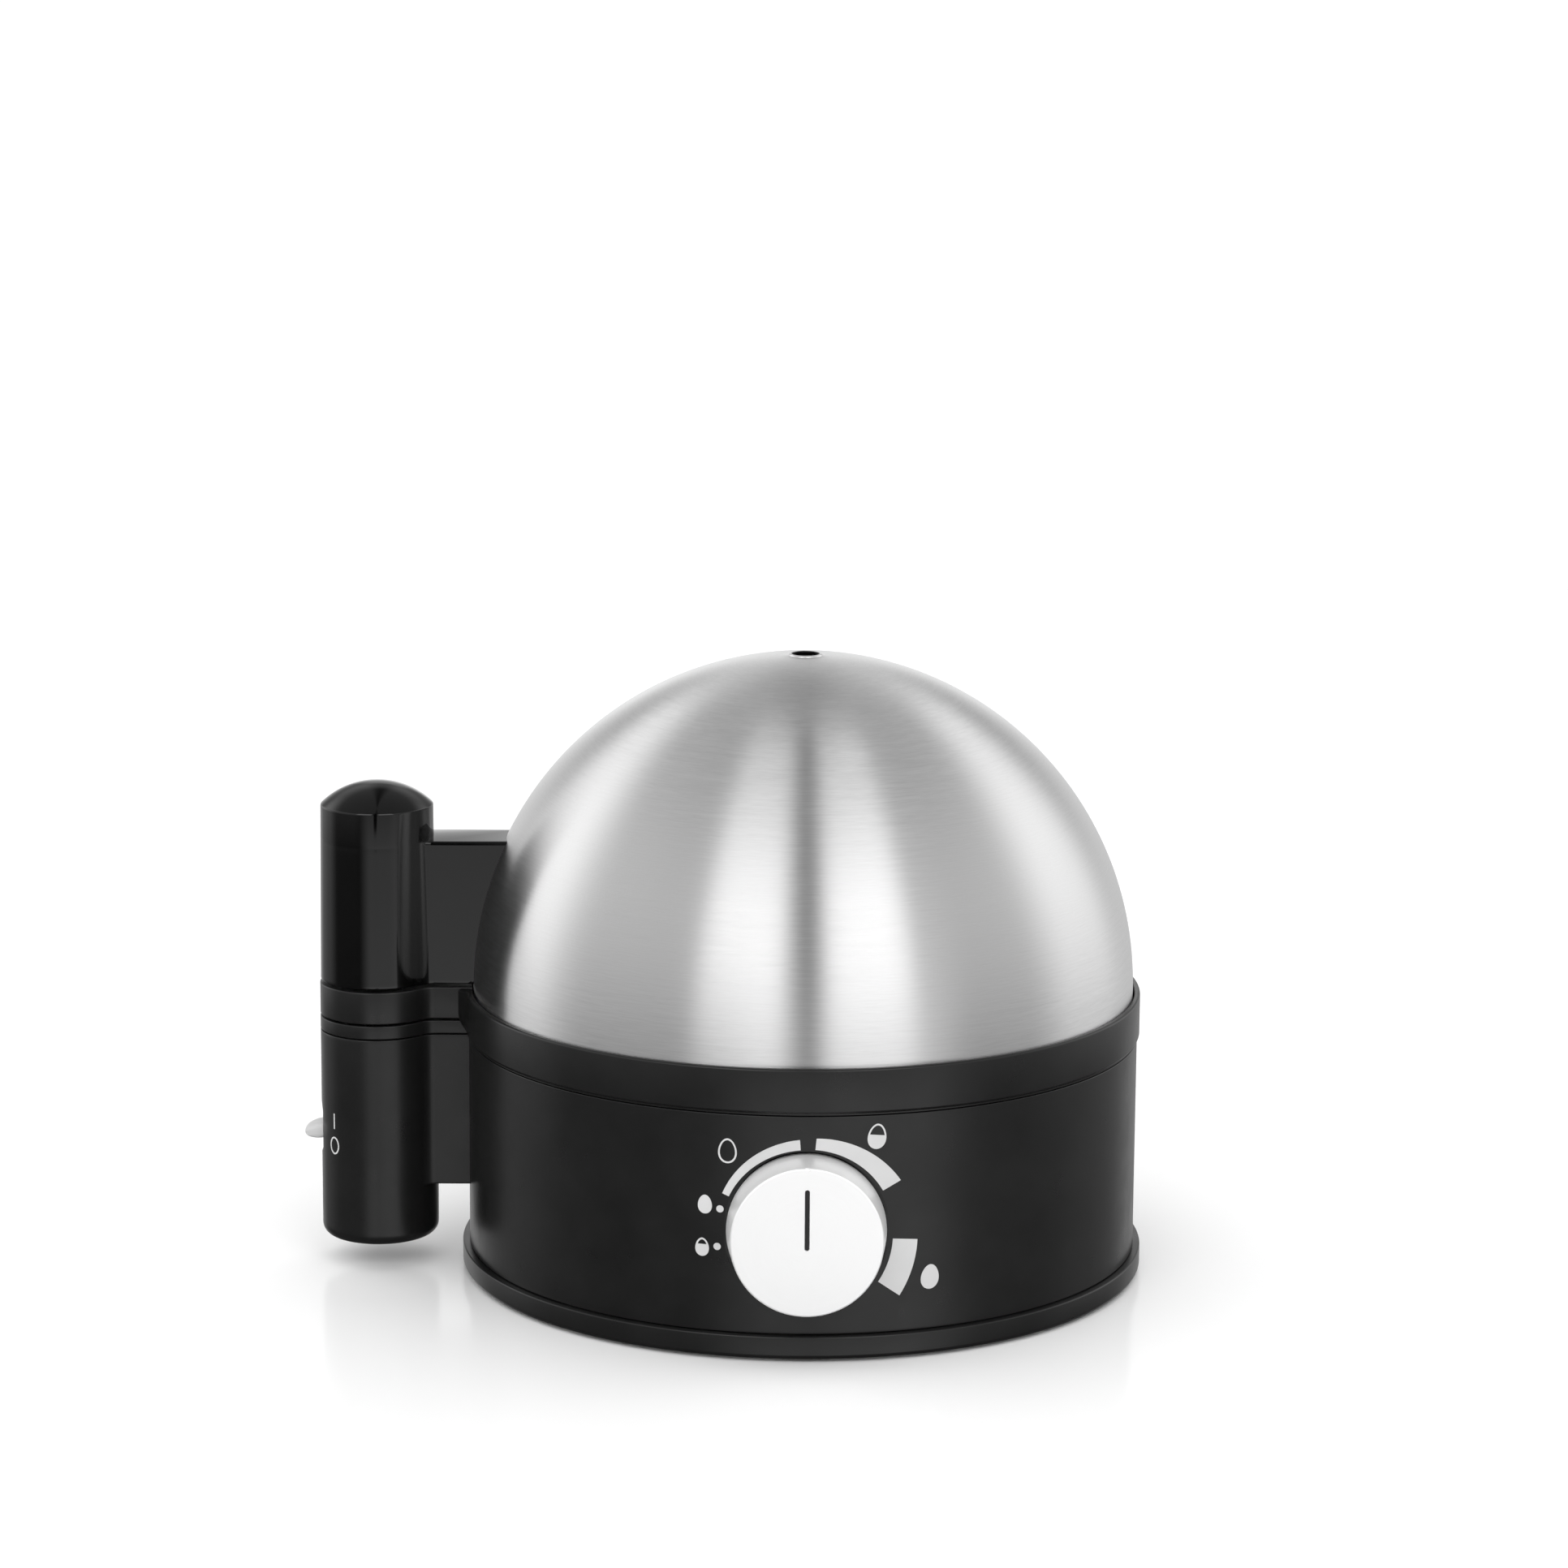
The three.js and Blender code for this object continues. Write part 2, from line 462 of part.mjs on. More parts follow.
function foot() {
  const { radius, stem, head } = FOOT;
  const underside = FLOOR.bottomZ - GAP;
  const top = FLOOR.topZ + GAP;
  const pad = [[0, 0], [radius - 0.9, 0], [radius, 0.9], [radius - 0.4, underside]];
  const barb = [[stem, underside], [stem, top], [head, top], [stem, top + 1.5], [0, top + 1.5]];
  return turned([...pad, ...barb], SMALL_SIDES);
}

function bottomScrew() {
  const headTop = FLOOR.bottomZ - GAP;
  const headBottom = headTop - SCREW.headDepth;
  const head = [[0, headBottom], [SCREW.headRadius - 0.5, headBottom], [SCREW.headRadius, headTop - 1],
    [SCREW.headRadius, headTop]];
  const thread = [[SCREW.radius, headTop], [SCREW.radius, SCREW.tipZ - 0.8], [0, SCREW.tipZ]];
  return turned([...head, ...thread], SMALL_SIDES);
}

function cordGland() {
  const { bore, radius, flangeRadius, inner, outer } = GLAND;
  const seat = BODY.radius + 0.35;
  const flange = [[flangeRadius, seat], [flangeRadius, outer - 0.4], [flangeRadius - 0.4, outer]];
  const sleeve = turned([[bore, inner], [radius, inner], [radius, seat], ...flange, [bore, outer]], 24);
  return sleeve.rotateX(-Math.PI / 2).translate(0, 0, GLAND.z);
}

// ---- dial, drawn along +Z from the dome's axis ---------------------------------------------------

function dialRegulator() {
  const { half, back, front, bladeX, bladeLength } = REGULATOR;
  const bushing = disc(BUSHING.radius, front - 0.5, BUSHING.front);
  const body = join(box([-half, half], [-half, half], [back, front]), bushing);
  const blades = bladeX.map((x) =>
    box([x - 1.5, x + 1.5], [-half - bladeLength, -half + 0.5], [back + 4, back + 4.8]));
  return cut(join(body, ...blades), disc(SHAFT.radius + GAP, back + 1, BUSHING.front + 1));
}

function hexNut(bore, radius, low, high) {
  return cut(disc(radius, low, high, HEX), disc(bore, low - 1, high + 1));
}

function controlKnob() {
  const { front, rear, frontRadius, rearRadius, edge, wall, face, hubRadius } = KNOB;
  const ceiling = front - face;
  const bore = SHAFT.radius + 0.4;
  const hubRear = BUSHING.front + 0.4;
  const outside = [[0, front], [frontRadius - edge, front], [frontRadius, front - edge], [rearRadius, rear]];
  const hub = [[hubRadius, ceiling], [hubRadius, hubRear], [bore, hubRear], [bore, ceiling - 0.4]];
  const skirt = [[rearRadius - wall, rear], [frontRadius - wall, ceiling]];
  const body = turned([...outside, ...skirt, ...hub, [0, ceiling - 0.4]]);
  const { half, low, high, depth } = POINTER;
  const groove = box([-half - GAP, half + GAP], [low - GAP, high + GAP], [front - depth - GAP, front + 1]);
  return cut(body, groove);
}

function dialShaft() {
  const flat = box([-SHAFT.radius, SHAFT.radius], [SHAFT.flatY, SHAFT.radius], [SHAFT.flatFrom, KNOB.front]);
  return cut(disc(SHAFT.radius, SHAFT.back, SHAFT.front), flat);
}

// ---- switch -------------------------------------------------------------------------------------

// The lever, drawn pointing along -X from its pivot, then turned down to its rest angle.
function switchLever() {
  const { reach, rootX, halfThickness, halfWidth, restAngle } = LEVER;
  const shape = new THREE.Shape();
  shape.moveTo(0, -halfThickness);
  shape.lineTo(0, halfThickness);
  shape.lineTo(-rootX, halfThickness);
  shape.absellipse(-rootX, 0, reach - rootX, halfThickness, Math.PI / 2, (3 * Math.PI) / 2, false);
  const tongue = prism(shape, -halfWidth, halfWidth, 8).rotateX(Math.PI / 2);
  tongue.rotateY(THREE.MathUtils.degToRad(-restAngle)).translate(PIVOT.x, 0, PIVOT.z);
  const hub = atPivot(PIVOT.hubRadius, PIVOT.hubHalf);
  return cut(join(hub, tongue), atPivot(PIVOT.pinRadius + GAP, PIVOT.hubHalf + 1));
}

function powerSwitch() {
  const { backX, frontX, half, bottomZ, topZ, bladeZ } = SWITCH;
  const body = box([frontX, backX], [-half, half], [bottomZ, topZ]);
  const earLow = half - SWITCH_EAR.thickness;
  const ears = [[earLow, half], [-half, -earLow]].map((y) =>
    box([SWITCH_EAR.frontX, frontX + 0.6], y, [SWITCH_EAR.bottomZ, SWITCH_EAR.topZ]));
  const blades = bladeZ.map((z) => box([backX - 0.5, backX + 3.5], [-2.4, 2.4], [z - 0.4, z + 0.4]));
  return cut(join(body, ...ears, ...blades), atPivot(PIVOT.pinRadius + GAP, half + 1));
}

// ---- the cooker ---------------------------------------------------------------------------------

const footprint = new THREE.Box2(
  new THREE.Vector2(PIVOT.x - LEVER.reach * Math.cos(THREE.MathUtils.degToRad(LEVER.restAngle)), -KNOB.front),
  new THREE.Vector2(FOOTPRINT_RADIUS, FOOTPRINT_RADIUS),
).getCenter(new THREE.Vector2());

const cooker = new THREE.Group();
const dome = group(cooker, -footprint.x, -footprint.y, 0);

const lid = group(dome);
piece(lid, 'lid_dome', lidDome(), 'brushedSteel');
piece(lid, 'lid_handle', lidHandle(), 'glossBlack');
const plug = disc(LID_PLUG.radius, LID_PLUG.bottomZ, LID_PLUG.topZ, COLUMN_SIDES);
piece(group(lid, COLUMN.x), 'handle_plug', plug, 'glossBlack');
['handle_screw_lower', 'handle_screw_upper'].forEach((name, i) => {
  const screw = piece(group(lid, 0, 0, DOME.centreZ), name, handleScrew(), 'zinc');
  screw.rotation.y = THREE.MathUtils.degToRad(LID_SCREW_ANGLES[i] - 90);
});

piece(group(dome), 'egg_tray', eggTray(), 'satinBlack');

const base = group(dome);
piece(base, 'base_housing', baseHousing(), 'satinBlack');
piece(base, 'collar_ring', collarRing(), 'satinBlack');
piece(base, 'bottom_plate', bottomPlate(), 'satinBlack');
piece(base, 'heating_plate', heatingPlate(), 'dishSteel');
const gasket = tube(GASKET.innerRadius, GASKET.radius, LEDGE.topZ + GAP, DISH.rimZ - 1.2, ROUND);
piece(base, 'plate_gasket', gasket, 'silicone');
piece(base, 'heating_element', heatingElement(), 'elementSteel');
piece(base, 'heat_shield', heatShield(), 'dishSteel');
piece(base, 'thermostat', thermostat(), 'darkBakelite');
piece(base, 'thermostat_strap', thermostatStrap(), 'zinc');
const fuse = piece(group(base, FUSE.x, 0, FUSE.z), 'thermal_fuse', disc(FUSE.radius, -FUSE.half, FUSE.half),
  'ceramicWhite');
fuse.rotation.x = Math.PI / 2;
studPlaces.forEach((x, i) => {
  const nut = hexNut(STUD.radius + 0.35, STUD.nutRadius, ...STUD.nutZ);
  piece(group(base, x), `stud_nut_${i + 1}`, nut, 'zinc');
});
footPlaces.forEach(([x, y], i) => piece(group(base, x, y), `foot_${i + 1}`, foot(), 'rubber'));
screwPlaces.forEach(([x, y], i) => piece(group(base, x, y), `bottom_screw_${i + 1}`, bottomScrew(), 'zinc'));
piece(base, 'cord_gland', cordGland(), 'rubber');

piece(base, 'control_board', box([-BOARD.halfX, BOARD.halfX], [BOARD.lowY, BOARD.highY],
  [BOARD.bottomZ, BOARD.topZ]), 'boardGreen');
const onBoard = BOARD.topZ + GAP;
piece(base, 'board_relay', box(RELAY.x, RELAY.y, [onBoard, RELAY.topZ]), 'darkBakelite');
piece(base, 'terminal_block', box(TERMINALS.x, TERMINALS.y, [onBoard, TERMINALS.topZ]), 'ceramicWhite');
const buzzer = tube(BUZZER.hole, BUZZER.radius, onBoard, BUZZER.topZ);
piece(group(base, BUZZER.x, BUZZER.y), 'buzzer', buzzer, 'darkBakelite');

const switchSide = group(base);
piece(switchSide, 'power_switch', powerSwitch(), 'darkBakelite');
piece(switchSide, 'lever_pin', atPivot(PIVOT.pinRadius, PIVOT.pinHalf), 'zinc');
piece(switchSide, 'switch_lever', switchLever(), 'leverGrey');
const leadStart = SWITCH.backX + 3.9;
const leadEndZ = BOARD.topZ + 1.6;
const liveRoute = [[leadStart, 0, SWITCH.bladeZ[1]], [-90, 2.5, 39], [-80, 5, 33], [-66, 8, 22],
  [-46, 18, 17], [-33, 22, leadEndZ]];
const neutralRoute = [[leadStart, 0, SWITCH.bladeZ[0]], [-90, -2.5, 31], [-80, -2, 27], [-66, 2, 18],
  [-46, 12, 14.6], [-33, 17.5, leadEndZ]];
piece(base, 'switch_lead_1', wire(liveRoute, LEAD_RADIUS, 14), 'leadBrown');
piece(base, 'switch_lead_2', wire(neutralRoute, LEAD_RADIUS, 14), 'leadBlue');
elementEnds().forEach(([x, y], i) => {
  const finish = ['leadBrown', 'leadBlue'][i];
  const fromEnd = [[x, y, ELEMENT.endZ - GAP], [x + 1, y + 1, 22], [x - 2, y + 6 + 10 * i, 18]];
  const route = [...fromEnd, [30, 22 - 4 * i, leadEndZ]];
  piece(base, `element_lead_${i + 1}`, wire(route, LEAD_RADIUS, 8), finish);
});

const dial = group(dome, 0, 0, DIAL.z);
dial.rotation.x = Math.PI / 2;
piece(dial, 'dial_regulator', dialRegulator(), 'darkBakelite');
const dialNut = hexNut(BUSHING.radius + 0.35, DIAL_NUT.radius, DIAL.pocketFloor + GAP, DIAL_NUT.front);
piece(dial, 'dial_nut', dialNut, 'zinc');
piece(dial, 'dial_shaft', dialShaft(), 'zinc');
piece(dial, 'control_knob', controlKnob(), 'knobSilver');
piece(dial, 'knob_pointer', box([-POINTER.half, POINTER.half], [POINTER.low, POINTER.high],
  [KNOB.front - POINTER.depth, KNOB.front]), 'pointerBlack');

export default cooker;
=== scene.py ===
"""An egg cooker with a brushed steel dome lid, made in millimetres around the dome's axis."""

import json
from math import asin, atan2, cos, degrees, pi, radians, sin, sqrt, tan

import bmesh
import bpy
from mathutils import Matrix, Vector

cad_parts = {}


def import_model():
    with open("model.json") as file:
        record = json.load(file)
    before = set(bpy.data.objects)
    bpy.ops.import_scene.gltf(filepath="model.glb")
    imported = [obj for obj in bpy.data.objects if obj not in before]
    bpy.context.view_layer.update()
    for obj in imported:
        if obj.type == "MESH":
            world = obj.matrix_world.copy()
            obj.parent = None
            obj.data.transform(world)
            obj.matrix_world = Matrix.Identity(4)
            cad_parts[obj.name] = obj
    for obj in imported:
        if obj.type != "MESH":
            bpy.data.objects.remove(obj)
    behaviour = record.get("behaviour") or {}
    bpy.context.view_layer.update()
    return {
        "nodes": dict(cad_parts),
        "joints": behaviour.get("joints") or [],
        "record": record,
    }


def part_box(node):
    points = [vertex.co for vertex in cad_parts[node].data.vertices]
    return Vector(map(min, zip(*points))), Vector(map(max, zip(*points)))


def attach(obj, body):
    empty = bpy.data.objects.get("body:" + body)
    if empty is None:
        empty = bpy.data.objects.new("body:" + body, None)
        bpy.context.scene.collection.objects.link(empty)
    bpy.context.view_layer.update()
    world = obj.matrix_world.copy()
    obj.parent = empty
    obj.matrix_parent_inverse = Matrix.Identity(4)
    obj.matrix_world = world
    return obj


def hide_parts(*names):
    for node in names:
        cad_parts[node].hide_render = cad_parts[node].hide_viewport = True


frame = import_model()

# ---- sizes, in millimetres ----------------------------------------------------------------------

MM = 0.001  # the frame is in metres
low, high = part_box("lid_dome")
AXIS = Vector(((low.x + high.x) / 2, (low.y + high.y) / 2, 0))  # the dome's axis, on the table


def lowest(node):
    return (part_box(node)[0] - AXIS) / MM


def highest(node):
    return (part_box(node)[1] - AXIS) / MM


SIDES = 256  # of the large turned pieces
ARC_STEPS = 6  # of a small round corner
SHARP = 35  # degrees between faces at an edge that stays sharp

DOME_RADIUS = highest("lid_dome").x
DOME_SHEET = 0.8
VENT_RADIUS = 3.3
DOME_CENTRE_Z = highest("lid_dome").z - sqrt(DOME_RADIUS**2 - VENT_RADIUS**2)
SKIRT_Z = lowest("lid_dome").z
GAP = 0.3

COLUMN_X = (lowest("handle_plug").x + highest("handle_plug").x) / 2
COLUMN_RADIUS = COLUMN_X - lowest("egg_tray").x
COLUMN_WALL = 2.2
WEB_HALF = 8
WEB_FILLET = 5
NOTCH_HALF = 8.35

HANDLE_LOW_Z = lowest("lid_handle").z
HANDLE_RADIUS = COLUMN_X - lowest("lid_handle").x
HANDLE_TOP_RADIUS = HANDLE_RADIUS - 0.4
HANDLE_CREASE_Z = 120.2
HANDLE_WEB_Z = 111.9
HANDLE_SCREW_ANGLES = (7, 19)  # degrees above the dome's centre plane

SCREW_RADIUS = 1.5
SCREW_HEAD_RADIUS = 3.2
PILOT_RADIUS = 1.8

TRAY_RADIUS = 84.7
TRAY_TOP_Z = 67
TRAY_HANDLE_Z = (65.6, highest("egg_tray").z)
SEAT_RADIUS = 18.2
SEAT_MOUTH = 20.4
SEAT_PITCH = 50
SEAT_LIP_Z = lowest("egg_tray").z

COLLAR_RADIUS = highest("collar_ring").x
COLLAR_BORE = 85.1
COLLAR_Z = (lowest("collar_ring").z, highest("collar_ring").z)
COLLAR_BAND_Z = 65.1
CHEEK_X = 88.3

BODY_RADIUS = highest("base_housing").x
BODY_WALL = 2
BODY_Z = (6.9, highest("base_housing").z)
WEB_LOW_Z = 21.7
GLAND_Z = (lowest("cord_gland").z + highest("cord_gland").z) / 2
COVER_Z = (3.4, 5.4)

DIAL_Z = (lowest("control_knob").z + highest("control_knob").z) / 2
KNOB_FRONT = -lowest("control_knob").y
KNOB_REAR = -highest("control_knob").y
KNOB_RADII = (18.5, (highest("control_knob").x - lowest("control_knob").x) / 2)
POCKET_RADIUS = 20.2
POCKET_FLOOR = 83.7
POINTER_Z = (lowest("knob_pointer").z - DIAL_Z, highest("knob_pointer").z - DIAL_Z)

LEVER = next(joint for joint in frame["joints"] if joint["child"] == "lever")

# ---- node code ----------------------------------------------------------------------------------


class Nodes:
    """Short ways to add nodes to a tree; each returns the new node's first output."""

    def __init__(self, tree):
        self.tree = tree

    def add(self, kind, *inputs, output=0, **settings):
        node = self.tree.nodes.new(kind)
        for name, value in settings.items():
            setattr(node, name, value)
        for name, value in inputs:
            if isinstance(value, bpy.types.NodeSocket):
                self.tree.links.new(value, node.inputs[name])
            else:
                node.inputs[name].default_value = value
        return node.outputs[output] if node.outputs else node

    def math(self, operation, *values):
        return self.add("ShaderNodeMath", *enumerate(values), operation=operation)

    def vector(self, operation, *values, output=0):
        return self.add("ShaderNodeVectorMath", *enumerate(values), operation=operation,
                        output=output)

    def scaled(self, vector, factor):
        return self.add("ShaderNodeVectorMath", (0, vector), (3, factor), operation="SCALE")

    def parts(self, vector):
        self.add("ShaderNodeSeparateXYZ", (0, vector))
        return self.tree.nodes[-1].outputs

    def point(self, x, y, z):
        return self.add("ShaderNodeCombineXYZ", (0, x), (1, y), (2, z))

    def from_to(self, value, low, high, new_low, new_high, kind="LINEAR"):
        return self.add("ShaderNodeMapRange", (0, value), (1, low), (2, high), (3, new_low),
                        (4, new_high), interpolation_type=kind)

    def noise(self, place, scale=1.0, detail=2.0, roughness=0.5):
        return self.add("ShaderNodeTexNoise", ("Vector", place), ("Scale", scale), ("Detail", detail),
                        ("Roughness", roughness))

    def millimetres(self, origin=(0, 0, 0)):
        """Places in millimetres from a point that is given in millimetres from the dome's axis."""
        place = self.add("ShaderNodeTexCoord", output=3)
        start = AXIS + Vector(origin) * MM
        return self.scaled(self.vector("SUBTRACT", place, tuple(start)), 1 / MM)


class Finish(Nodes):
    """A material with one Principled shader."""

    def __init__(self, name, colour, roughness, metallic=0.0, **values):
        self.material = bpy.data.materials.new(name)
        self.material.use_nodes = True
        super().__init__(self.material.node_tree)
        self.shader = self.tree.nodes["Principled BSDF"]
        self.set("Base Color", (*colour, 1))
        self.set("Roughness", roughness)
        self.set("Metallic", metallic)
        for name, value in values.items():
            self.set(name.replace("_", " "), value)

    def set(self, name, value):
        self.shader.inputs[name].default_value = value

    def link(self, value, name):
        self.tree.links.new(value, self.shader.inputs[name])

    def vary_colour(self, value, dark, light, low=0.3, high=0.7):
        mix = self.add("ShaderNodeMix", ("Factor", self.from_to(value, low, high, 0, 1)), data_type="RGBA",
                       output=2)
        node = mix.node
        node.inputs[6].default_value, node.inputs[7].default_value = (*dark, 1), (*light, 1)
        self.link(mix, "Base Color")

    def vary_roughness(self, value, smooth, rough, low=0.3, high=0.7):
        self.link(self.from_to(value, low, high, smooth, rough), "Roughness")

    def dim_colour(self, share):
        """Scales the colour that is linked already."""
        colour = self.shader.inputs["Base Color"].links[0].from_socket
        self.link(self.scaled(colour, share), "Base Color")

    def emboss(self, value, strength, height):
        """Bumps of that height in millimetres."""
        self.link(self.add("ShaderNodeBump", ("Strength", strength), ("Distance", height * MM),
                           ("Height", value)), "Normal")


# ---- materials ----------------------------------------------------------------------------------


def grey(value):
    return (value, value, value)


def brushed(finish, along, across, streak, pitch, colours, roughnesses):
    """Fine brushed lines. along is the unit direction from an axis, so the lines close on themselves;
    across counts millimetres over the lines; streak is a line's length as an angle."""
    fine_share = 0.7
    place = finish.vector("ADD", finish.scaled(along, 1 / streak),
                          finish.point(0, 0, finish.math("DIVIDE", across, pitch)))
    fine = finish.noise(place, 1.0, 3.0, 0.6)
    broad = finish.noise(place, 0.22, 1.0, 0.5)
    both = finish.math("ADD", finish.math("MULTIPLY", fine, fine_share),
                       finish.math("MULTIPLY", broad, 1 - fine_share))
    finish.vary_colour(both, *colours)
    finish.vary_roughness(both, *roughnesses)
    finish.emboss(fine, 0.12, 0.01)


def dome_steel():
    """Stainless steel brushed round the dome, so reflections stretch up and down.

    The vent's bore is painted nearly black as painted shade inside the hole, and the brushing is weaker on
    the crown."""
    bore_painted_shade_edge = (VENT_RADIUS + 0.2, VENT_RADIUS + 0.35)
    crown_edge = (10, 50)
    finish = Finish("dome_steel", grey(0.9), 0.38, 1.0, Anisotropic=1.0, Anisotropic_Rotation=0.25)
    finish.link(finish.add("ShaderNodeTangent", direction_type="RADIAL", axis="Z"), "Tangent")
    place = finish.millimetres((0, 0, DOME_CENTRE_Z))
    x, y, z = finish.parts(place)
    flat = finish.point(x, y, 0)
    reach = finish.vector("LENGTH", flat, output=1)
    height = finish.math("MULTIPLY", finish.math("ARCTAN2", z, reach), DOME_RADIUS)
    brushed(finish, finish.vector("NORMALIZE", flat), height, 0.075, 0.2,
            (grey(0.83), grey(0.97)), (0.34, 0.42))
    # painted shade: the colour falls to almost black inside the vent's bore, where shade falls in the hole
    finish.dim_colour(finish.from_to(reach, *bore_painted_shade_edge, 0.01, 1))
    finish.link(finish.from_to(reach, *crown_edge, 0.35, 1, "SMOOTHSTEP"), "Anisotropic")
    return finish.material


def dish_steel():
    """The spun steel dish and shield, brushed in circles round the middle."""
    finish = Finish("dish_steel", grey(0.62), 0.3, 1.0, Anisotropic=0.8, Anisotropic_Rotation=0.25)
    finish.link(finish.add("ShaderNodeTangent", direction_type="RADIAL", axis="Z"), "Tangent")
    x, y, z = finish.parts(finish.millimetres())
    flat = finish.point(x, y, 0)
    reach = finish.math("ADD", finish.vector("LENGTH", flat, output=1), z)
    brushed(finish, finish.vector("NORMALIZE", flat), reach, 0.2, 0.25,
            (grey(0.52), grey(0.7)), (0.24, 0.36))
    return finish.material


def knob_silver():
    """A satin silver cap, turned in circles round the dial's shaft."""
    finish = Finish("knob_silver", grey(0.98), 0.42, 0.55)
    x, y, z = finish.parts(finish.millimetres((0, 0, DIAL_Z)))
    flat = finish.point(x, z, 0)
    reach = finish.math("ADD", finish.vector("LENGTH", flat, output=1), y)
    brushed(finish, finish.vector("NORMALIZE", flat), reach, 0.25, 0.2,
            (grey(0.97), grey(0.99)), (0.38, 0.45))
    return finish.material


def plastic(name, dark, light, roughnesses, grain, grain_size, **values):
    """Moulded plastic: a fine grain, with slow changes of tone and gloss."""
    finish = Finish(name, light, roughnesses[0], **values)
    place = finish.millimetres()
    finish.vary_colour(finish.noise(place, 0.06, 3.0), dark, light)
    finish.vary_roughness(finish.noise(place, 0.11, 4.0, 0.6), *roughnesses)
    finish.emboss(finish.noise(place, 1 / grain_size, 2.0, 0.6), 0.3, grain)
    return finish.material


def gloss_black():
    """Polished black plastic; its surface is very slightly wavy."""
    return plastic("gloss_black", grey(0.001), grey(0.0018), (0.05, 0.09), 0.006, 4.0,
                   Specular_IOR_Level=0.45)


def satin_black():
    return plastic("satin_black", grey(0.006), grey(0.009), (0.27, 0.33), 0.006, 0.28,
                   Specular_IOR_Level=0.42)


def foot_rubber():
    return plastic("foot_rubber", grey(0.012), grey(0.02), (0.7, 0.85), 0.03, 0.5)


def lever_grey():
    return plastic("lever_grey", grey(0.5), grey(0.58), (0.3, 0.38), 0.008, 0.4)


def pointer_black():
    return plastic("pointer_black", grey(0.006), grey(0.01), (0.45, 0.55), 0.01, 0.2)


def mark_grey():
    """Light grey pad-printed ink, a little uneven."""
    return plastic("mark_grey", grey(0.54), grey(0.6), (0.5, 0.62), 0.006, 0.15)


def silicone():
    return plastic("silicone", (0.36, 0.34, 0.31), (0.42, 0.4, 0.36), (0.6, 0.72), 0.03, 0.6)


def dark_bakelite():
    return plastic("dark_bakelite", (0.018, 0.012, 0.009), (0.03, 0.021, 0.016), (0.4, 0.55), 0.02,
                   0.35)


def white_ceramic():
    return plastic("white_ceramic", (0.68, 0.65, 0.57), (0.78, 0.75, 0.68), (0.5, 0.66), 0.02, 0.3)


def lead_brown():
    return plastic("lead_brown", (0.12, 0.04, 0.012), (0.16, 0.055, 0.018), (0.42, 0.52), 0.01, 0.4)


def lead_blue():
    return plastic("lead_blue", (0.02, 0.07, 0.26), (0.03, 0.09, 0.34), (0.42, 0.52), 0.01, 0.4)


def board_green():
    """A circuit board's green lacquer over faint copper tracks."""
    finish = Finish("board_green", (0.012, 0.1, 0.035), 0.35)
    place = finish.millimetres()
    tracks = finish.add("ShaderNodeTexBrick", ("Vector", place), ("Scale", 0.16),
                        ("Mortar Size", 0.03), output=1)
    finish.vary_colour(tracks, (0.012, 0.09, 0.03), (0.03, 0.17, 0.06), 0, 1)
    finish.vary_roughness(finish.noise(place, 0.3, 3.0), 0.3, 0.42)
    finish.emboss(tracks, 0.3, 0.03)
    return finish.material


def metal(name, dark, light, roughnesses, grain):
    """Plated or heated metal, cloudy in tone and gloss."""
    finish = Finish(name, light, roughnesses[0], 1.0)
    place = finish.millimetres()
    finish.vary_colour(finish.noise(place, 0.25, 4.0, 0.6), dark, light)
    finish.vary_roughness(finish.noise(place, 0.5, 4.0, 0.6), *roughnesses)
    finish.emboss(finish.noise(place, 3.0, 3.0, 0.6), 0.3, grain)
    return finish.material


def zinc_steel():
    return metal("zinc_steel", (0.5, 0.5, 0.46), (0.66, 0.66, 0.63), (0.3, 0.45), 0.01)


def element_steel():
    return metal("element_steel", (0.1, 0.085, 0.07), (0.26, 0.23, 0.2), (0.4, 0.6), 0.02)


MATERIALS = {make.__name__: make() for make in (
    dome_steel, dish_steel, knob_silver, gloss_black, satin_black, foot_rubber, lever_grey,
    pointer_black, mark_grey, silicone, dark_bakelite, white_ceramic, lead_brown, lead_blue,
    board_green, zinc_steel, element_steel)}


# ---- mesh code ----------------------------------------------------------------------------------


def spread(first, last, steps):
    return [first + (last - first) * i / steps for i in range(steps + 1)]


def arc(centre, radius, first, last, steps=ARC_STEPS):
    """Points on an arc between two angles in degrees."""
    return [(centre[0] + radius * cos(radians(a)), centre[1] + radius * sin(radians(a)))
            for a in spread(first, last, steps)]


def rounded(corners, steps=ARC_STEPS):
    """A closed outline of (a, b) or (a, b, radius) corners, with the radii made as arcs."""
    points = []
    for i, corner in enumerate(corners):
        here = Vector(corner[:2])
        if len(corner) < 3:
            points.append(tuple(here))
            continue
        before = (Vector(corners[i - 1][:2]) - here).normalized()
        after = (Vector(corners[(i + 1) % len(corners)][:2]) - here).normalized()
        half = before.angle(after) / 2
        centre = here + (before + after).normalized() * corner[2] / sin(half)
        start, end = (here + way * corner[2] / tan(half) - centre for way in (before, after))
        first = degrees(atan2(start.y, start.x))
        turn = (degrees(atan2(end.y, end.x)) - first + 180) % 360 - 180
        points += arc(centre, corner[2], first, first + turn, steps)
    return points


def quarter(size, steps=ARC_STEPS):
    """(inset, rise) along a round edge, from its end face to its wall."""
    return [(size * (1 - sin(radians(a))), size * (1 - cos(radians(a)))) for a in spread(0, 90, steps)]


def bridge(bm, below, above):
    """Faces between two closed rings, either of which may be a single point."""
    count = max(len(below), len(above))
    for i in range(count):
        corners = [below[i % len(below)], below[(i + 1) % len(below)],
                   above[(i + 1) % len(above)], above[i % len(above)]]
        corners = list(dict.fromkeys(corners))
        if len(corners) > 2:
            bm.faces.new(corners)


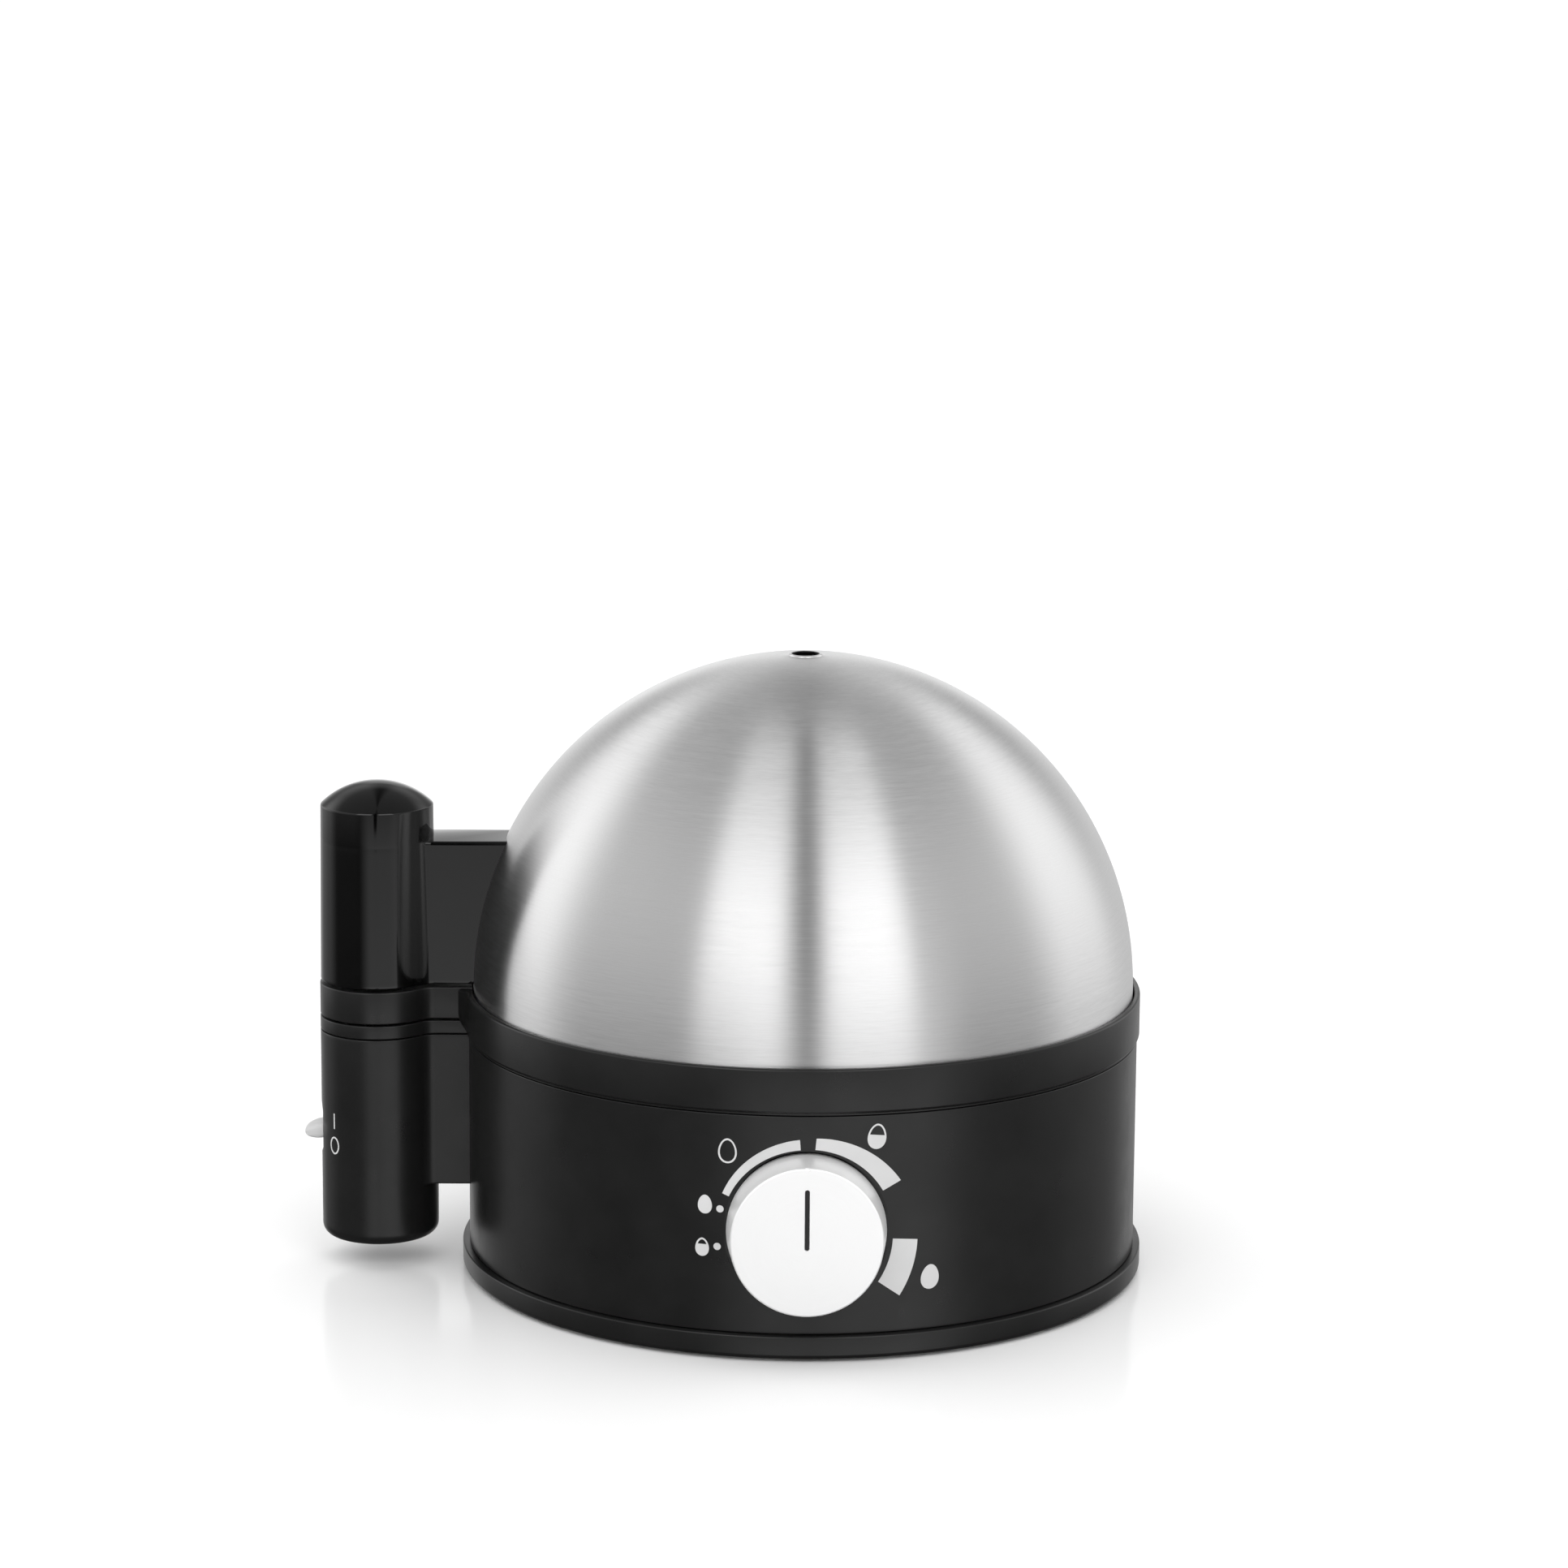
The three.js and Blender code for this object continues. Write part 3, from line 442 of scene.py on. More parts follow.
def turned(outline, sides=SIDES):
    """A closed outline of (radius, z) points turned around Z."""
    bm = bmesh.new()
    rings = []
    for radius, z in outline:
        if radius < 1e-6:
            rings.append([bm.verts.new((0, 0, z))])
            continue
        rings.append([bm.verts.new((radius * cos(a), radius * sin(a), z))
                      for a in spread(0, 2 * pi, sides)[:-1]])
    for below, above in zip(rings, rings[1:] + rings[:1]):
        if len(below) > 1 or len(above) > 1:
            bridge(bm, below, above)
    return bm


def stacked(rings):
    """A solid through rings of as many points each, with flat ends."""
    bm = bmesh.new()
    made = [[bm.verts.new(point) for point in ring] for ring in rings]
    for below, above in zip(made, made[1:]):
        bridge(bm, below, above)
    bm.faces.new(made[0])
    bm.faces.new(made[-1])
    return bm


def prism(outline, low, high):
    """An (x, y) outline pulled up from one height to another."""
    return stacked([[(x, y, z) for x, y in outline] for z in (low, high)])


def cylinder(radius, low, high, sides=64):
    return turned([(0, low), (radius, low), (radius, high), (0, high)], sides)


def box(xs, ys, zs):
    return prism([(xs[0], ys[0]), (xs[1], ys[0]), (xs[1], ys[1]), (xs[0], ys[1])], *zs)


def moved(bm, *steps):
    for step in steps:
        bm.transform(step)
    return bm


def shift(x=0, y=0, z=0):
    return Matrix.Translation((x, y, z))


def turn(angle, axis):
    return Matrix.Rotation(radians(angle), 4, axis)


def round_places(pitch, angles):
    """(x, y) places on a circle round the dome's axis."""
    return [(pitch * cos(radians(a)), pitch * sin(radians(a))) for a in angles]


def copies(places, make, *values):
    """What make(*values) draws, once at each (x, y) place."""
    return [moved(make(*values), shift(x, y)) for x, y in places]


def at_dial(bm):
    """What is drawn along +Z, turned to point out of the front at the dial's height."""
    return moved(bm, turn(90, "X"), shift(z=DIAL_Z))


def shown_as(name, bm):
    bmesh.ops.recalc_face_normals(bm, faces=bm.faces)
    mesh = bpy.data.meshes.new(name)
    bm.to_mesh(mesh)
    bm.free()
    obj = bpy.data.objects.new(name, mesh)
    bpy.context.scene.collection.objects.link(obj)
    return obj


def combined(first, operation, *others):
    """The first mesh with the others joined to it, cut from it, or kept where they overlap."""
    whole = shown_as("whole", first)
    tools = [shown_as("tool", other) for other in others]
    for tool in tools:
        modifier = whole.modifiers.new("combine", "BOOLEAN")
        modifier.operation, modifier.solver, modifier.object = operation, "EXACT", tool
    evaluated = whole.evaluated_get(bpy.context.evaluated_depsgraph_get())
    result = bmesh.new()
    result.from_mesh(evaluated.to_mesh())
    for obj in (whole, *tools):
        bpy.data.meshes.remove(obj.data)  # takes its object with it
    return result


def join(first, *others):
    return combined(first, "UNION", *others)


def cut(first, *others):
    return combined(first, "DIFFERENCE", *others)


def piece(name, bm, body, slot, *nodes):
    """Places a mesh drawn in millimetres, and makes it ride, with its slot's material."""
    bmesh.ops.remove_doubles(bm, verts=bm.verts, dist=1e-5)
    for face in bm.faces:
        face.smooth = True
    bm.normal_update()
    for edge in bm.edges:
        edge.smooth = len(edge.link_faces) != 2 or edge.calc_face_angle(0) < radians(SHARP)
    moved(bm, Matrix.Scale(MM, 4), Matrix.Translation(AXIS))
    obj = shown_as(name, bm)
    obj.data.materials.append(MATERIALS[slot])
    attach(obj, body)
    if nodes:
        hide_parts(*nodes)
    return obj


def shade_round(obj, radius):
    """Makes a wall round the dome's axis shade as a true cylinder, also beside what is cut into it."""
    close, square = 0.05, 0.98  # millimetres from the wall, and how well a face looks outwards
    mesh = obj.data
    normals = [corner.vector.copy() for corner in mesh.corner_normals]
    for face in mesh.polygons:
        for loop in face.loop_indices:
            place = mesh.vertices[mesh.loops[loop].vertex_index].co - AXIS
            out = place * Vector((1, 1, 0)) / MM
            if abs(out.length - radius) < close and face.normal.dot(out.normalized()) > square:
                normals[loop] = out.normalized()
    mesh.normals_split_custom_set(normals)


# ---- the column and its web ---------------------------------------------------------------------

COLUMN_STEPS = 112  # round the column, without the part that faces the web
CLOSING_STEPS = 32  # round the part that faces the web
FILLET_STEPS = 10
WEB_END_STEPS = 12


def fillet_place(radius, inset):
    """The middle of the hollow fillet between a column and its web, from the column's axis."""
    y = WEB_HALF + WEB_FILLET
    return sqrt((radius + WEB_FILLET + inset) ** 2 - y**2), y


def web_plan(radius, inset, web_end):
    """The way back from the end of the column's arc to its start, round the web."""
    half, fillet = WEB_HALF - inset, WEB_FILLET + inset
    x, y = fillet_place(radius, inset)
    meet = degrees(atan2(y, x))
    front = arc((COLUMN_X + x, -y), fillet, 180 - meet, 90, FILLET_STEPS)[1:]
    end = [(web_end(y), y) for y in spread(-half, half, WEB_END_STEPS)]
    return front + end + [(x, -y) for x, y in reversed(front)]


def column_solid(levels, web_end):
    """A column that has its web over some of its height.

    Each level is (z, column radius, inset of the web's sides, whether it has the web). Two levels
    at one height make a step there. web_end(y, z) is where the web stops.
    """
    bm = bmesh.new()
    before = None
    with_web = [level for level in levels if level[3]]
    at_step = with_web[-1] if levels[0][3] else with_web[0]
    for z, radius, inset, has_web in levels:
        x, y = fillet_place(radius, inset) if has_web else fillet_place(*at_step[1:3])
        meet = degrees(atan2(y, x))
        column = arc((COLUMN_X, 0), radius, meet, 360 - meet, COLUMN_STEPS)
        closing = arc((COLUMN_X, 0), radius, -meet, meet, CLOSING_STEPS)[1:-1]
        web = web_plan(radius, inset, lambda y: web_end(y, z)) if has_web else closing
        points = [bm.verts.new((x, y, z)) for x, y in web]
        if before and before[2] != has_web:
            ring = before[0]
            bm.faces.new([ring[-1], *points, ring[0], *reversed(before[1])])
        else:
            ring = [bm.verts.new((x, y, z)) for x, y in column]
            if before:
                bridge(bm, before[0] + before[1], ring + points)
            else:
                bm.faces.new(ring + points)
        before = ring, points, has_web
    bm.faces.new(before[0] + before[1])
    return bm


def band(low, high, radius, edge, end_x):
    """A short slice of the column and its web, with round edges at both ends."""
    below = [(low + rise, radius - inset, inset, True) for inset, rise in quarter(edge)]
    above = [(high - rise, radius - inset, inset, True) for inset, rise in reversed(quarter(edge))]
    return column_solid(below + above, lambda y, z: end_x)


# ---- the lid ------------------------------------------------------------------------------------


def dome_arc(radius, first_radius, steps=72):
    """Points down a dome, from a distance off its axis to its widest place."""
    first = degrees(asin(first_radius / radius))
    return [(radius * sin(radians(a)), DOME_CENTRE_Z + radius * cos(radians(a)))
            for a in spread(first, 90, steps)]


def lid_dome():
    inside = DOME_RADIUS - DOME_SHEET
    bead = 0.5
    lip = arc((VENT_RADIUS + bead, DOME_CENTRE_Z + DOME_RADIUS - 0.1), bead, 235, 10, 12)
    rim = arc((DOME_RADIUS - DOME_SHEET / 2, SKIRT_Z + DOME_SHEET / 2), DOME_SHEET / 2, 0, -180)
    under = list(reversed(dome_arc(inside, VENT_RADIUS + 2 * bead)))
    shell = turned(lip + dome_arc(DOME_RADIUS, VENT_RADIUS + 2.5 * bead) + rim + under)
    holes = [through_dome(cylinder(SCREW_RADIUS + GAP, 80, 90), angle)
             for angle in HANDLE_SCREW_ANGLES]
    piece("lid_dome_shell", cut(shell, *holes), "lid", "dome_steel", "lid_dome")


def through_dome(bm, angle):
    """What is drawn along +Z from the dome's centre, turned towards the handle and up."""
    return moved(bm, turn(angle - 90, "Y"), shift(z=DOME_CENTRE_Z))


def handle_cap():
    """Points over the handle's domed top, from its crease to its middle."""
    radius = 20.5
    centre = HANDLE_CREASE_Z - sqrt(radius**2 - HANDLE_TOP_RADIUS**2)
    crease_angle = degrees(asin(HANDLE_TOP_RADIUS / radius))
    return [(radius * sin(radians(a)), centre + radius * cos(radians(a)))
            for a in spread(crease_angle - 1.5, 0.4, 22)]


def lid_handle():
    reach = DOME_RADIUS - DOME_SHEET / 2
    edge, web_edge, crease = 0.35, 0.7, 0.8
    seat_radius, seat_depth = 12.2, 2.9  # for the plug

    def radius_at(z):
        share = (z - HANDLE_LOW_Z) / (HANDLE_CREASE_Z - HANDLE_LOW_Z)
        return HANDLE_RADIUS + (HANDLE_TOP_RADIUS - HANDLE_RADIUS) * share

    def web_end(y, z):
        return -sqrt(reach**2 - y**2 - (z - DOME_CENTRE_Z) ** 2)

    levels = [(HANDLE_LOW_Z + rise, radius_at(HANDLE_LOW_Z) - inset, inset, True)
              for inset, rise in quarter(edge)]
    levels += [(z, radius_at(z), 0, True) for z in spread(HANDLE_LOW_Z + 1, HANDLE_WEB_Z - 1, 28)]
    levels += [(HANDLE_WEB_Z - rise, radius_at(HANDLE_WEB_Z), inset, True)
               for inset, rise in reversed(quarter(web_edge))]
    levels += [(HANDLE_WEB_Z, radius_at(HANDLE_WEB_Z), web_edge, False)]
    profile = rounded([(HANDLE_TOP_RADIUS, HANDLE_WEB_Z),
                       (HANDLE_TOP_RADIUS, HANDLE_CREASE_Z, crease), *handle_cap()])
    levels += [(z, radius, web_edge, False) for radius, z in profile[1:]]
    seat = cylinder(seat_radius, HANDLE_LOW_Z - 1, HANDLE_LOW_Z + seat_depth, 96)
    solid = cut(column_solid(levels, web_end), moved(seat, shift(COLUMN_X)))
    piece("lid_handle_grip", solid, "lid", "gloss_black", "lid_handle")


def handle_plug():
    low, high = lowest("handle_plug").z, highest("handle_plug").z
    radius = highest("handle_plug").x - COLUMN_X
    outline = rounded([(0, low), (radius, low, 0.4), (radius, high), (0, high)])
    plug = moved(turned(outline, 96), shift(COLUMN_X))
    piece("lid_handle_plug", plug, "lid", "gloss_black", "handle_plug")


def handle_screws():
    head_top, tip = DOME_RADIUS - DOME_SHEET - 2 * GAP, 94
    for name, angle in zip(("lower", "upper"), HANDLE_SCREW_ANGLES):
        screw = through_dome(cross_screw(head_top, -1, tip), angle)
        piece(f"lid_screw_{name}", screw, "lid", "zinc_steel", f"handle_screw_{name}")


def cross_screw(head_top, way, tip, head_depth=1.6):
    """A pan head screw along Z with a cross recess; way is where its head points."""
    outer = head_top + way * head_depth
    head = [(0, outer), (SCREW_HEAD_RADIUS, outer, 0.7), (SCREW_HEAD_RADIUS, head_top),
            (SCREW_RADIUS, head_top)]
    thread = [(SCREW_RADIUS, tip + way * 0.6), (SCREW_RADIUS - 0.6, tip), (0, tip)]
    half_length, half_width = 1.7, 0.35
    bottom, top = sorted((outer - way * 1.0, outer + way * 0.5))
    slots = []
    for angle in (0, 90):
        slot = box((-half_length, half_length), (-half_width, half_width), (bottom, top))
        slots.append(moved(slot, turn(angle, "Z")))
    return cut(turned(rounded(head + thread), 48), *slots)


# ---- the tray -----------------------------------------------------------------------------------


def egg_tray():
    """A plate with seven lipped seats and a flange, which carries its own band of the column."""
    plate_radius, plate_z = 76, 65
    flange_radius, flange_z = 77, 64.3
    outline = [(0, plate_z), (plate_radius, plate_z, 0.4), (flange_radius, flange_z, 0.4),
               (TRAY_RADIUS, flange_z, 0.3), (TRAY_RADIUS, TRAY_TOP_Z, 0.5), (0, TRAY_TOP_Z)]
    seats = [(0, 0)] + round_places(SEAT_PITCH, range(0, 360, 60))
    lip_radius, lip_top = SEAT_RADIUS + 1.4, plate_z + 0.5
    lip = [(0, SEAT_LIP_Z), (lip_radius, SEAT_LIP_Z, 0.4), (lip_radius, lip_top), (0, lip_top)]
    mouth = [(0, SEAT_LIP_Z - 1), (SEAT_RADIUS, SEAT_LIP_Z - 1), (SEAT_RADIUS, plate_z - 0.6, 1.2)]
    mouth_edge, band_edge, band_end = 0.9, 0.35, -80
    flare = arc((SEAT_MOUTH + mouth_edge, TRAY_TOP_Z - mouth_edge), mouth_edge, 180, 90)
    above = [(SEAT_MOUTH + mouth_edge, TRAY_TOP_Z + 1), (0, TRAY_TOP_Z + 1)]
    handle = band(*TRAY_HANDLE_Z, COLUMN_RADIUS, band_edge, band_end)
    handle = cut(handle, cylinder(COLLAR_BORE, TRAY_TOP_Z, TRAY_HANDLE_Z[1] + 1, SIDES))
    room = cylinder(COLUMN_RADIUS - COLUMN_WALL, TRAY_HANDLE_Z[0] - 1, TRAY_HANDLE_Z[1] - 2, 96)
    lips = copies(seats, turned, rounded(lip), 96)
    mouths = copies(seats, turned, rounded(mouth + flare + above), 96)
    whole = cut(join(turned(rounded(outline)), *lips, handle), *mouths, moved(room, shift(COLUMN_X)))
    piece("egg_tray_seats", whole, "tray", "satin_black", "egg_tray")


# ---- the base -----------------------------------------------------------------------------------


def cheek(side):
    """The collar's lip beside the notch, which flares out towards the column and fades downwards."""
    flare, run_out = CHEEK_X - sqrt(COLLAR_RADIUS**2 - NOTCH_HALF**2), 15
    low, high, fade, corner = COLLAR_Z[0] + 0.5, COLLAR_Z[1] + 0.4, 5, 1
    inner, sink = COLLAR_BORE + 0.1, 0.02
    levels = [(low + fade * share, sin(share * pi / 2)) for share in spread(0, 1, 12)]
    levels += [(high - rise, 1 - inset / flare) for inset, rise in reversed(quarter(corner))]
    rings = []
    for z, share in levels:
        plan = [(inner, NOTCH_HALF)]
        for y in spread(NOTCH_HALF, run_out, 20):
            rise = share * flare * ((run_out - y) / (run_out - NOTCH_HALF)) ** 2
            plan.append((sqrt(COLLAR_RADIUS**2 - y**2) - sink + rise, y))
        plan.append((inner, run_out))
        rings.append([(-x, side * y, z) for x, y in plan])
    return stacked(rings)


def collar_ring():
    low, high = COLLAR_Z
    shelf_z, lip_radius = 64, 76.5
    wall = turned(rounded([
        (BODY_RADIUS, low), (BODY_RADIUS, low + 0.4, 0.3), (COLLAR_RADIUS, low + 0.9, 0.4),
        (COLLAR_RADIUS, high, 0.6), (COLLAR_BORE, high, 0.35), (COLLAR_BORE, shelf_z),
        (lip_radius, shelf_z), (lip_radius, low)]))
    room = cylinder(COLLAR_BORE - 0.01, shelf_z, high + 1, SIDES)
    edge, band_end = 0.25, -83
    on_column = cut(band(low, COLLAR_BAND_Z, COLUMN_RADIUS, edge, band_end), room)
    notch_outer, notch_inner = -95, -83.5
    notch = box((notch_outer, notch_inner), (-NOTCH_HALF, NOTCH_HALF), (COLLAR_BAND_Z, high + 1))
    whole = cut(join(wall, on_column, cheek(1), cheek(-1)), notch)
    piece("collar_ring_trim", whole, "base", "satin_black", "collar_ring")


def housing_column(low, high, edge):
    """The lower column and its web, which starts at WEB_LOW_Z."""
    web_edge, top_edge = 0.5, 0.25
    levels = [(low + rise, COLUMN_RADIUS - inset, web_edge, False)
              for inset, rise in quarter(edge, 10)]
    levels += [(z, COLUMN_RADIUS, web_edge, False) for z in spread(low + edge + 1, WEB_LOW_Z, 6)]
    levels += [(WEB_LOW_Z + rise, COLUMN_RADIUS, inset, True) for inset, rise in quarter(web_edge)]
    levels += [(z, COLUMN_RADIUS, 0, True) for z in spread(WEB_LOW_Z + 1, high - 1, 18)]
    levels += [(high - rise, COLUMN_RADIUS - inset, inset, True)
               for inset, rise in reversed(quarter(top_edge))]
    return column_solid(levels, lambda y, z: -85)


def column_rooms(low, high):
    """The hollows in the column and its web, which is open to the housing low down, for wires."""
    web_inside, web_floor = WEB_HALF - COLUMN_WALL, WEB_LOW_Z + COLUMN_WALL
    web_start, web_end = COLUMN_X + 5, -87.8
    wires_end, wires_top = -82, 50.2
    across = (-web_inside, web_inside)
    column_room = moved(cylinder(COLUMN_RADIUS - COLUMN_WALL, low, high, 96), shift(COLUMN_X))
    wire_room = box((web_start, wires_end), across, (web_floor, wires_top))
    web_room = box((web_start, web_end), across, (web_floor, high))
    return [column_room, wire_room, web_room]


def base_housing():
    low, high = BODY_Z
    inside = BODY_RADIUS - BODY_WALL
    ledge_radius, ledge_low, ledge_high = 76.8, 57, 58.6
    shell = turned(rounded([
        (BODY_RADIUS, low), (BODY_RADIUS, high, 0.25), (inside, high), (inside, ledge_high),
        (ledge_radius, ledge_high), (ledge_radius, ledge_low), (inside, ledge_low), (inside, low)]))
    column_low, column_edge = lowest("base_housing").z, 3
    column = housing_column(column_low, high, column_edge)
    boss_radius, boss_rear, boss_sink = 22.2, 81.2, 0.6
    boss = combined(at_dial(cylinder(boss_radius, boss_rear, BODY_RADIUS, 96)), "INTERSECT",
                    cylinder(BODY_RADIUS - boss_sink, 0, high, SIDES))
    post_radius, post_top, pilot_top = 4.2, 30, 22
    posts = copies(screw_places(), cylinder, post_radius, low, post_top, 32)
    rooms = column_rooms(column_low + column_edge, high + 1)
    pocket = at_dial(cylinder(POCKET_RADIUS, POCKET_FLOOR, BODY_RADIUS + 4, 128))
    bushing_radius, bushing_rear = 4.95, 79
    bushing = at_dial(cylinder(bushing_radius, bushing_rear, BODY_RADIUS + 1, 48))
    pilots = copies(screw_places(), cylinder, PILOT_RADIUS, low - 1, pilot_top, 24)
    gland_radius, gland_from, gland_to = 5.2, 80, 90
    gland = cylinder(gland_radius, gland_from, gland_to, 48)
    gland = moved(gland, turn(-90, "X"), shift(z=GLAND_Z))
    whole = cut(join(shell, column, boss, *posts), *rooms, pocket, bushing, scoop(), lever_slot(),
                gland, *pilots)
    shell_piece = piece("base_shell", whole, "base", "satin_black", "base_housing")
    shade_round(shell_piece, BODY_RADIUS)


def screw_places():
    return round_places(81, (45, 135, 225, 315))


def scoop():
    """The shallow flat on the column round the lever, with soft ends, drawn in the X-Z plane."""
    face, surface = -123.6, COLUMN_X - COLUMN_RADIUS
    outline = rounded([(surface - 0.1, 28.3), (face, 30.1, 2.5), (face, 40.1, 4),
                       (surface - 0.1, 43.3)], 8)
    return moved(prism(outline, -9, 9), turn(90, "X"))


def lever_slot():
    """The lever's opening, drawn as (y, z) and then pushed out along -X."""
    half, low, high = 4.2, 31.2, 40.2
    outline = rounded([(-half, low, 1), (half, low, 1), (half, high, 1), (-half, high, 1)])
    outwards = Matrix(((0, 0, -1, 0), (1, 0, 0, 0), (0, 1, 0, 0), (0, 0, 0, 1)))
    return moved(prism(outline, 119, 126), outwards)


def bottom_plate():
    low, high = COVER_Z
    ring, ring_top, inside = highest("bottom_plate").x, 6.6, 84.6
    outline = rounded([
        (0, low), (80, low, 0.5), (81.2, 1.1, 1.2), (ring - 0.6, 0.8, 0.7), (ring, 1.8, 0.8),
        (ring, ring_top, 0.4), (inside, ring_top), (inside, high), (0, high)])
    holes = copies(foot_places(), cylinder, 2.3, 0, 7, 24)
    holes += copies(screw_places(), cylinder, PILOT_RADIUS, 0, 7, 24)
    seats = copies(screw_places(), cylinder, SCREW_HEAD_RADIUS + 0.5, 0, low, 48)
    half, front, rear = 1.6, -44, -16
    vent = rounded([(-half, front, 1.5), (half, front, 1.5), (half, rear, 1.5), (-half, rear, 1.5)])
    vents = copies([(x, 0) for x in (-24, -12, 0, 12, 24)], prism, vent, 2, 7)
    whole = cut(turned(outline), *holes, *seats, *vents)
    piece("bottom_cover", whole, "base", "satin_black", "bottom_plate")


def foot_places():
    pitch = 70
    return [(pitch, 0), (0, pitch), (-pitch, 0), (0, -pitch)]


def feet():
    """Rubber feet, each with a barbed neck through the bottom plate."""
    outline = rounded([(0, 0), (5.6, 0, 0.5), (6.5, 1, 0.5), (6.1, 3.1, 0.3), (2, 3.1), (2, 5.7),
                       (3, 5.7), (2, 7.2), (0, 7.2)])
    for i, foot in enumerate(copies(foot_places(), turned, outline, 64), 1):
        piece(f"rubber_foot_{i}", foot, "base", "foot_rubber", f"foot_{i}")


def base_screws():
    head_top, tip = 3.1, 20.8
    for i, screw in enumerate(copies(screw_places(), cross_screw, head_top, -1, tip), 1):
        piece(f"base_screw_{i}", screw, "base", "zinc_steel", f"bottom_screw_{i}")


def heating_plate():
    floor, rim = 50.2, 61.4
    outline = rounded([
        (83.4, rim - 0.9), (83.4, rim, 0.3), (75.4, rim, 1.2), (69.5, floor + 1.4, 3),
        (66, floor + 0.2, 2), (0, floor), (0, floor - 1), (66.4, floor - 0.8, 2),
        (70.4, floor + 0.7, 3), (76.1, rim - 0.9, 0.6)])
    studs = copies([(-22, 0), (22, 0)], cylinder, 2, 27, floor - 0.5, 32)
    piece("water_dish", join(turned(outline), *studs), "base", "dish_steel", "heating_plate")


def cord_gland():
    """The bush in the housing's back wall, drawn along +Z and turned to point out of the back."""
    seat, outer = BODY_RADIUS + 0.35, highest("cord_gland").y
    bore, neck, flange = 3.4, 4.9, 7
    outline = rounded([(bore, 79), (neck, 79, 0.4), (neck, seat), (flange, seat),
                       (flange, outer, 0.5), (bore, outer, 0.5)])
    gland = moved(turned(outline, 64), turn(-90, "X"), shift(z=GLAND_Z))
    piece("cord_bush", gland, "base", "foot_rubber", "cord_gland")


# ---- the dial and the switch --------------------------------------------------------------------


def control_knob():
    front, rear = KNOB_FRONT, KNOB_REAR
    near, far = KNOB_RADII
    wall, ceiling = 1.6, front - 1.8
    hub, hub_rear, bore = 6.2, 87.4, 3.4
    outline = rounded([
        (0, front), (near, front, 0.45), (far, rear, 0.2), (far - wall, rear, 0.2),
        (near - wall, ceiling), (hub, ceiling), (hub, hub_rear), (bore, hub_rear),
        (bore, ceiling - 0.4), (0, ceiling - 0.4)])
    groove = prism(stadium(0.62, *POINTER_Z, 0.12), front - 0.7, front + 1)
    nick = moved(cylinder(0.55, front - 0.5, front + 1, 24), shift(0, near - 0.05))
    knob = at_dial(cut(turned(outline), groove, nick))
    piece("dial_knob", knob, "dial", "knob_silver", "control_knob")


def knob_pointer():
    """The black bar in the knob's groove, with a bevelled face."""
    levels = ((0.5, KNOB_FRONT - 0.68), (0.5, KNOB_FRONT - 0.05), (0.46, KNOB_FRONT))
    pointer = stacked([[(x, y, z) for x, y in stadium(half, *POINTER_Z, 0)] for half, z in levels])
    piece("dial_pointer", at_dial(pointer), "dial", "pointer_black", "knob_pointer")


def stadium(half, low, high, margin):
    """A narrow upright outline with round ends, longer by a margin at both of them."""
    bottom, top = low - margin + half, high + margin - half
    return arc((0, top), half, 0, 180, 12) + arc((0, bottom), half, 180, 360, 12)


def switch_lever():
    """A flat tongue with a round nose, drawn along +X from its pivot, then turned to rest."""
    x, _, z = (Vector(LEVER["pos_m"]) - AXIS) / MM
    reach, root, thick, half, rest = 12.64, 7.4, 2.2, 3.8, 8.6
    squareness, least = 0.55, 0.001
    rings = []
    for share in spread(0, 1, 28):
        along = reach * sin(share * pi / 2)
        nose = max(0, (along - root) / (reach - root))
        tall = thick * sqrt(max(0, 1 - nose**2)) + least
        wide = half * (1 - nose**4) ** 0.25 + least
        ring = []
        for a in spread(0, 2 * pi, 64)[:-1]:
            c, s = cos(a), sin(a)
            ring.append((along, wide * abs(c) ** squareness * (1 if c > 0 else -1),
                         tall * abs(s) ** squareness * (1 if s > 0 else -1)))
        rings.append(ring)
    tongue = moved(stacked(rings), turn(180, "Z"), turn(-rest, "Y"))
    hub = moved(cylinder(3.4, -5, 5, 64), turn(90, "X"))
    bore = moved(cylinder(1.5, -6, 6, 32), turn(90, "X"))
    lever = moved(cut(join(tongue, hub), bore), shift(x, 0, z))
    piece("rocker_lever", lever, "lever", "lever_grey", "switch_lever")


# ---- printed marks ------------------------------------------------------------------------------

MARK_THICKNESS = 0.05
MARK_STEP = 1.0  # between the lines where a mark bends round the wall
SWITCH_MARKS_AT = 223  # degrees round the column


def printed(name, outlines, wrap):
    """Thin closed marks from flat (u, v) outlines, laid on a curved wall by wrap(u, v, rise)."""
    bm = bmesh.new()
    for outline in outlines:
        ring = [bm.verts.new((u, v, 0)) for u, v in outline]
        for i, vert in enumerate(ring):
            bm.edges.new((vert, ring[(i + 1) % len(ring)]))
    bmesh.ops.triangle_fill(bm, edges=bm.edges[:], use_beauty=True, use_dissolve=False)
    steps = int(max(abs(u) for outline in outlines for u, _ in outline) / MARK_STEP)
    for step in range(-steps, steps + 1):
        bmesh.ops.bisect_plane(bm, geom=bm.verts[:] + bm.edges[:] + bm.faces[:],
                               plane_co=(step * MARK_STEP, 0, 0), plane_no=(1, 0, 0))
    lifted = bmesh.ops.extrude_face_region(bm, geom=bm.faces[:])
    top = {item for item in lifted["geom"] if isinstance(item, bmesh.types.BMVert)}
    for vert in bm.verts:
        vert.co = wrap(vert.co.x, vert.co.y, MARK_THICKNESS if vert in top else -MARK_THICKNESS)
    piece(name, bm, "base", "mark_grey")


def on_front(u, v, rise):
    radius = BODY_RADIUS + rise
    return u, -sqrt(radius**2 - u**2), v


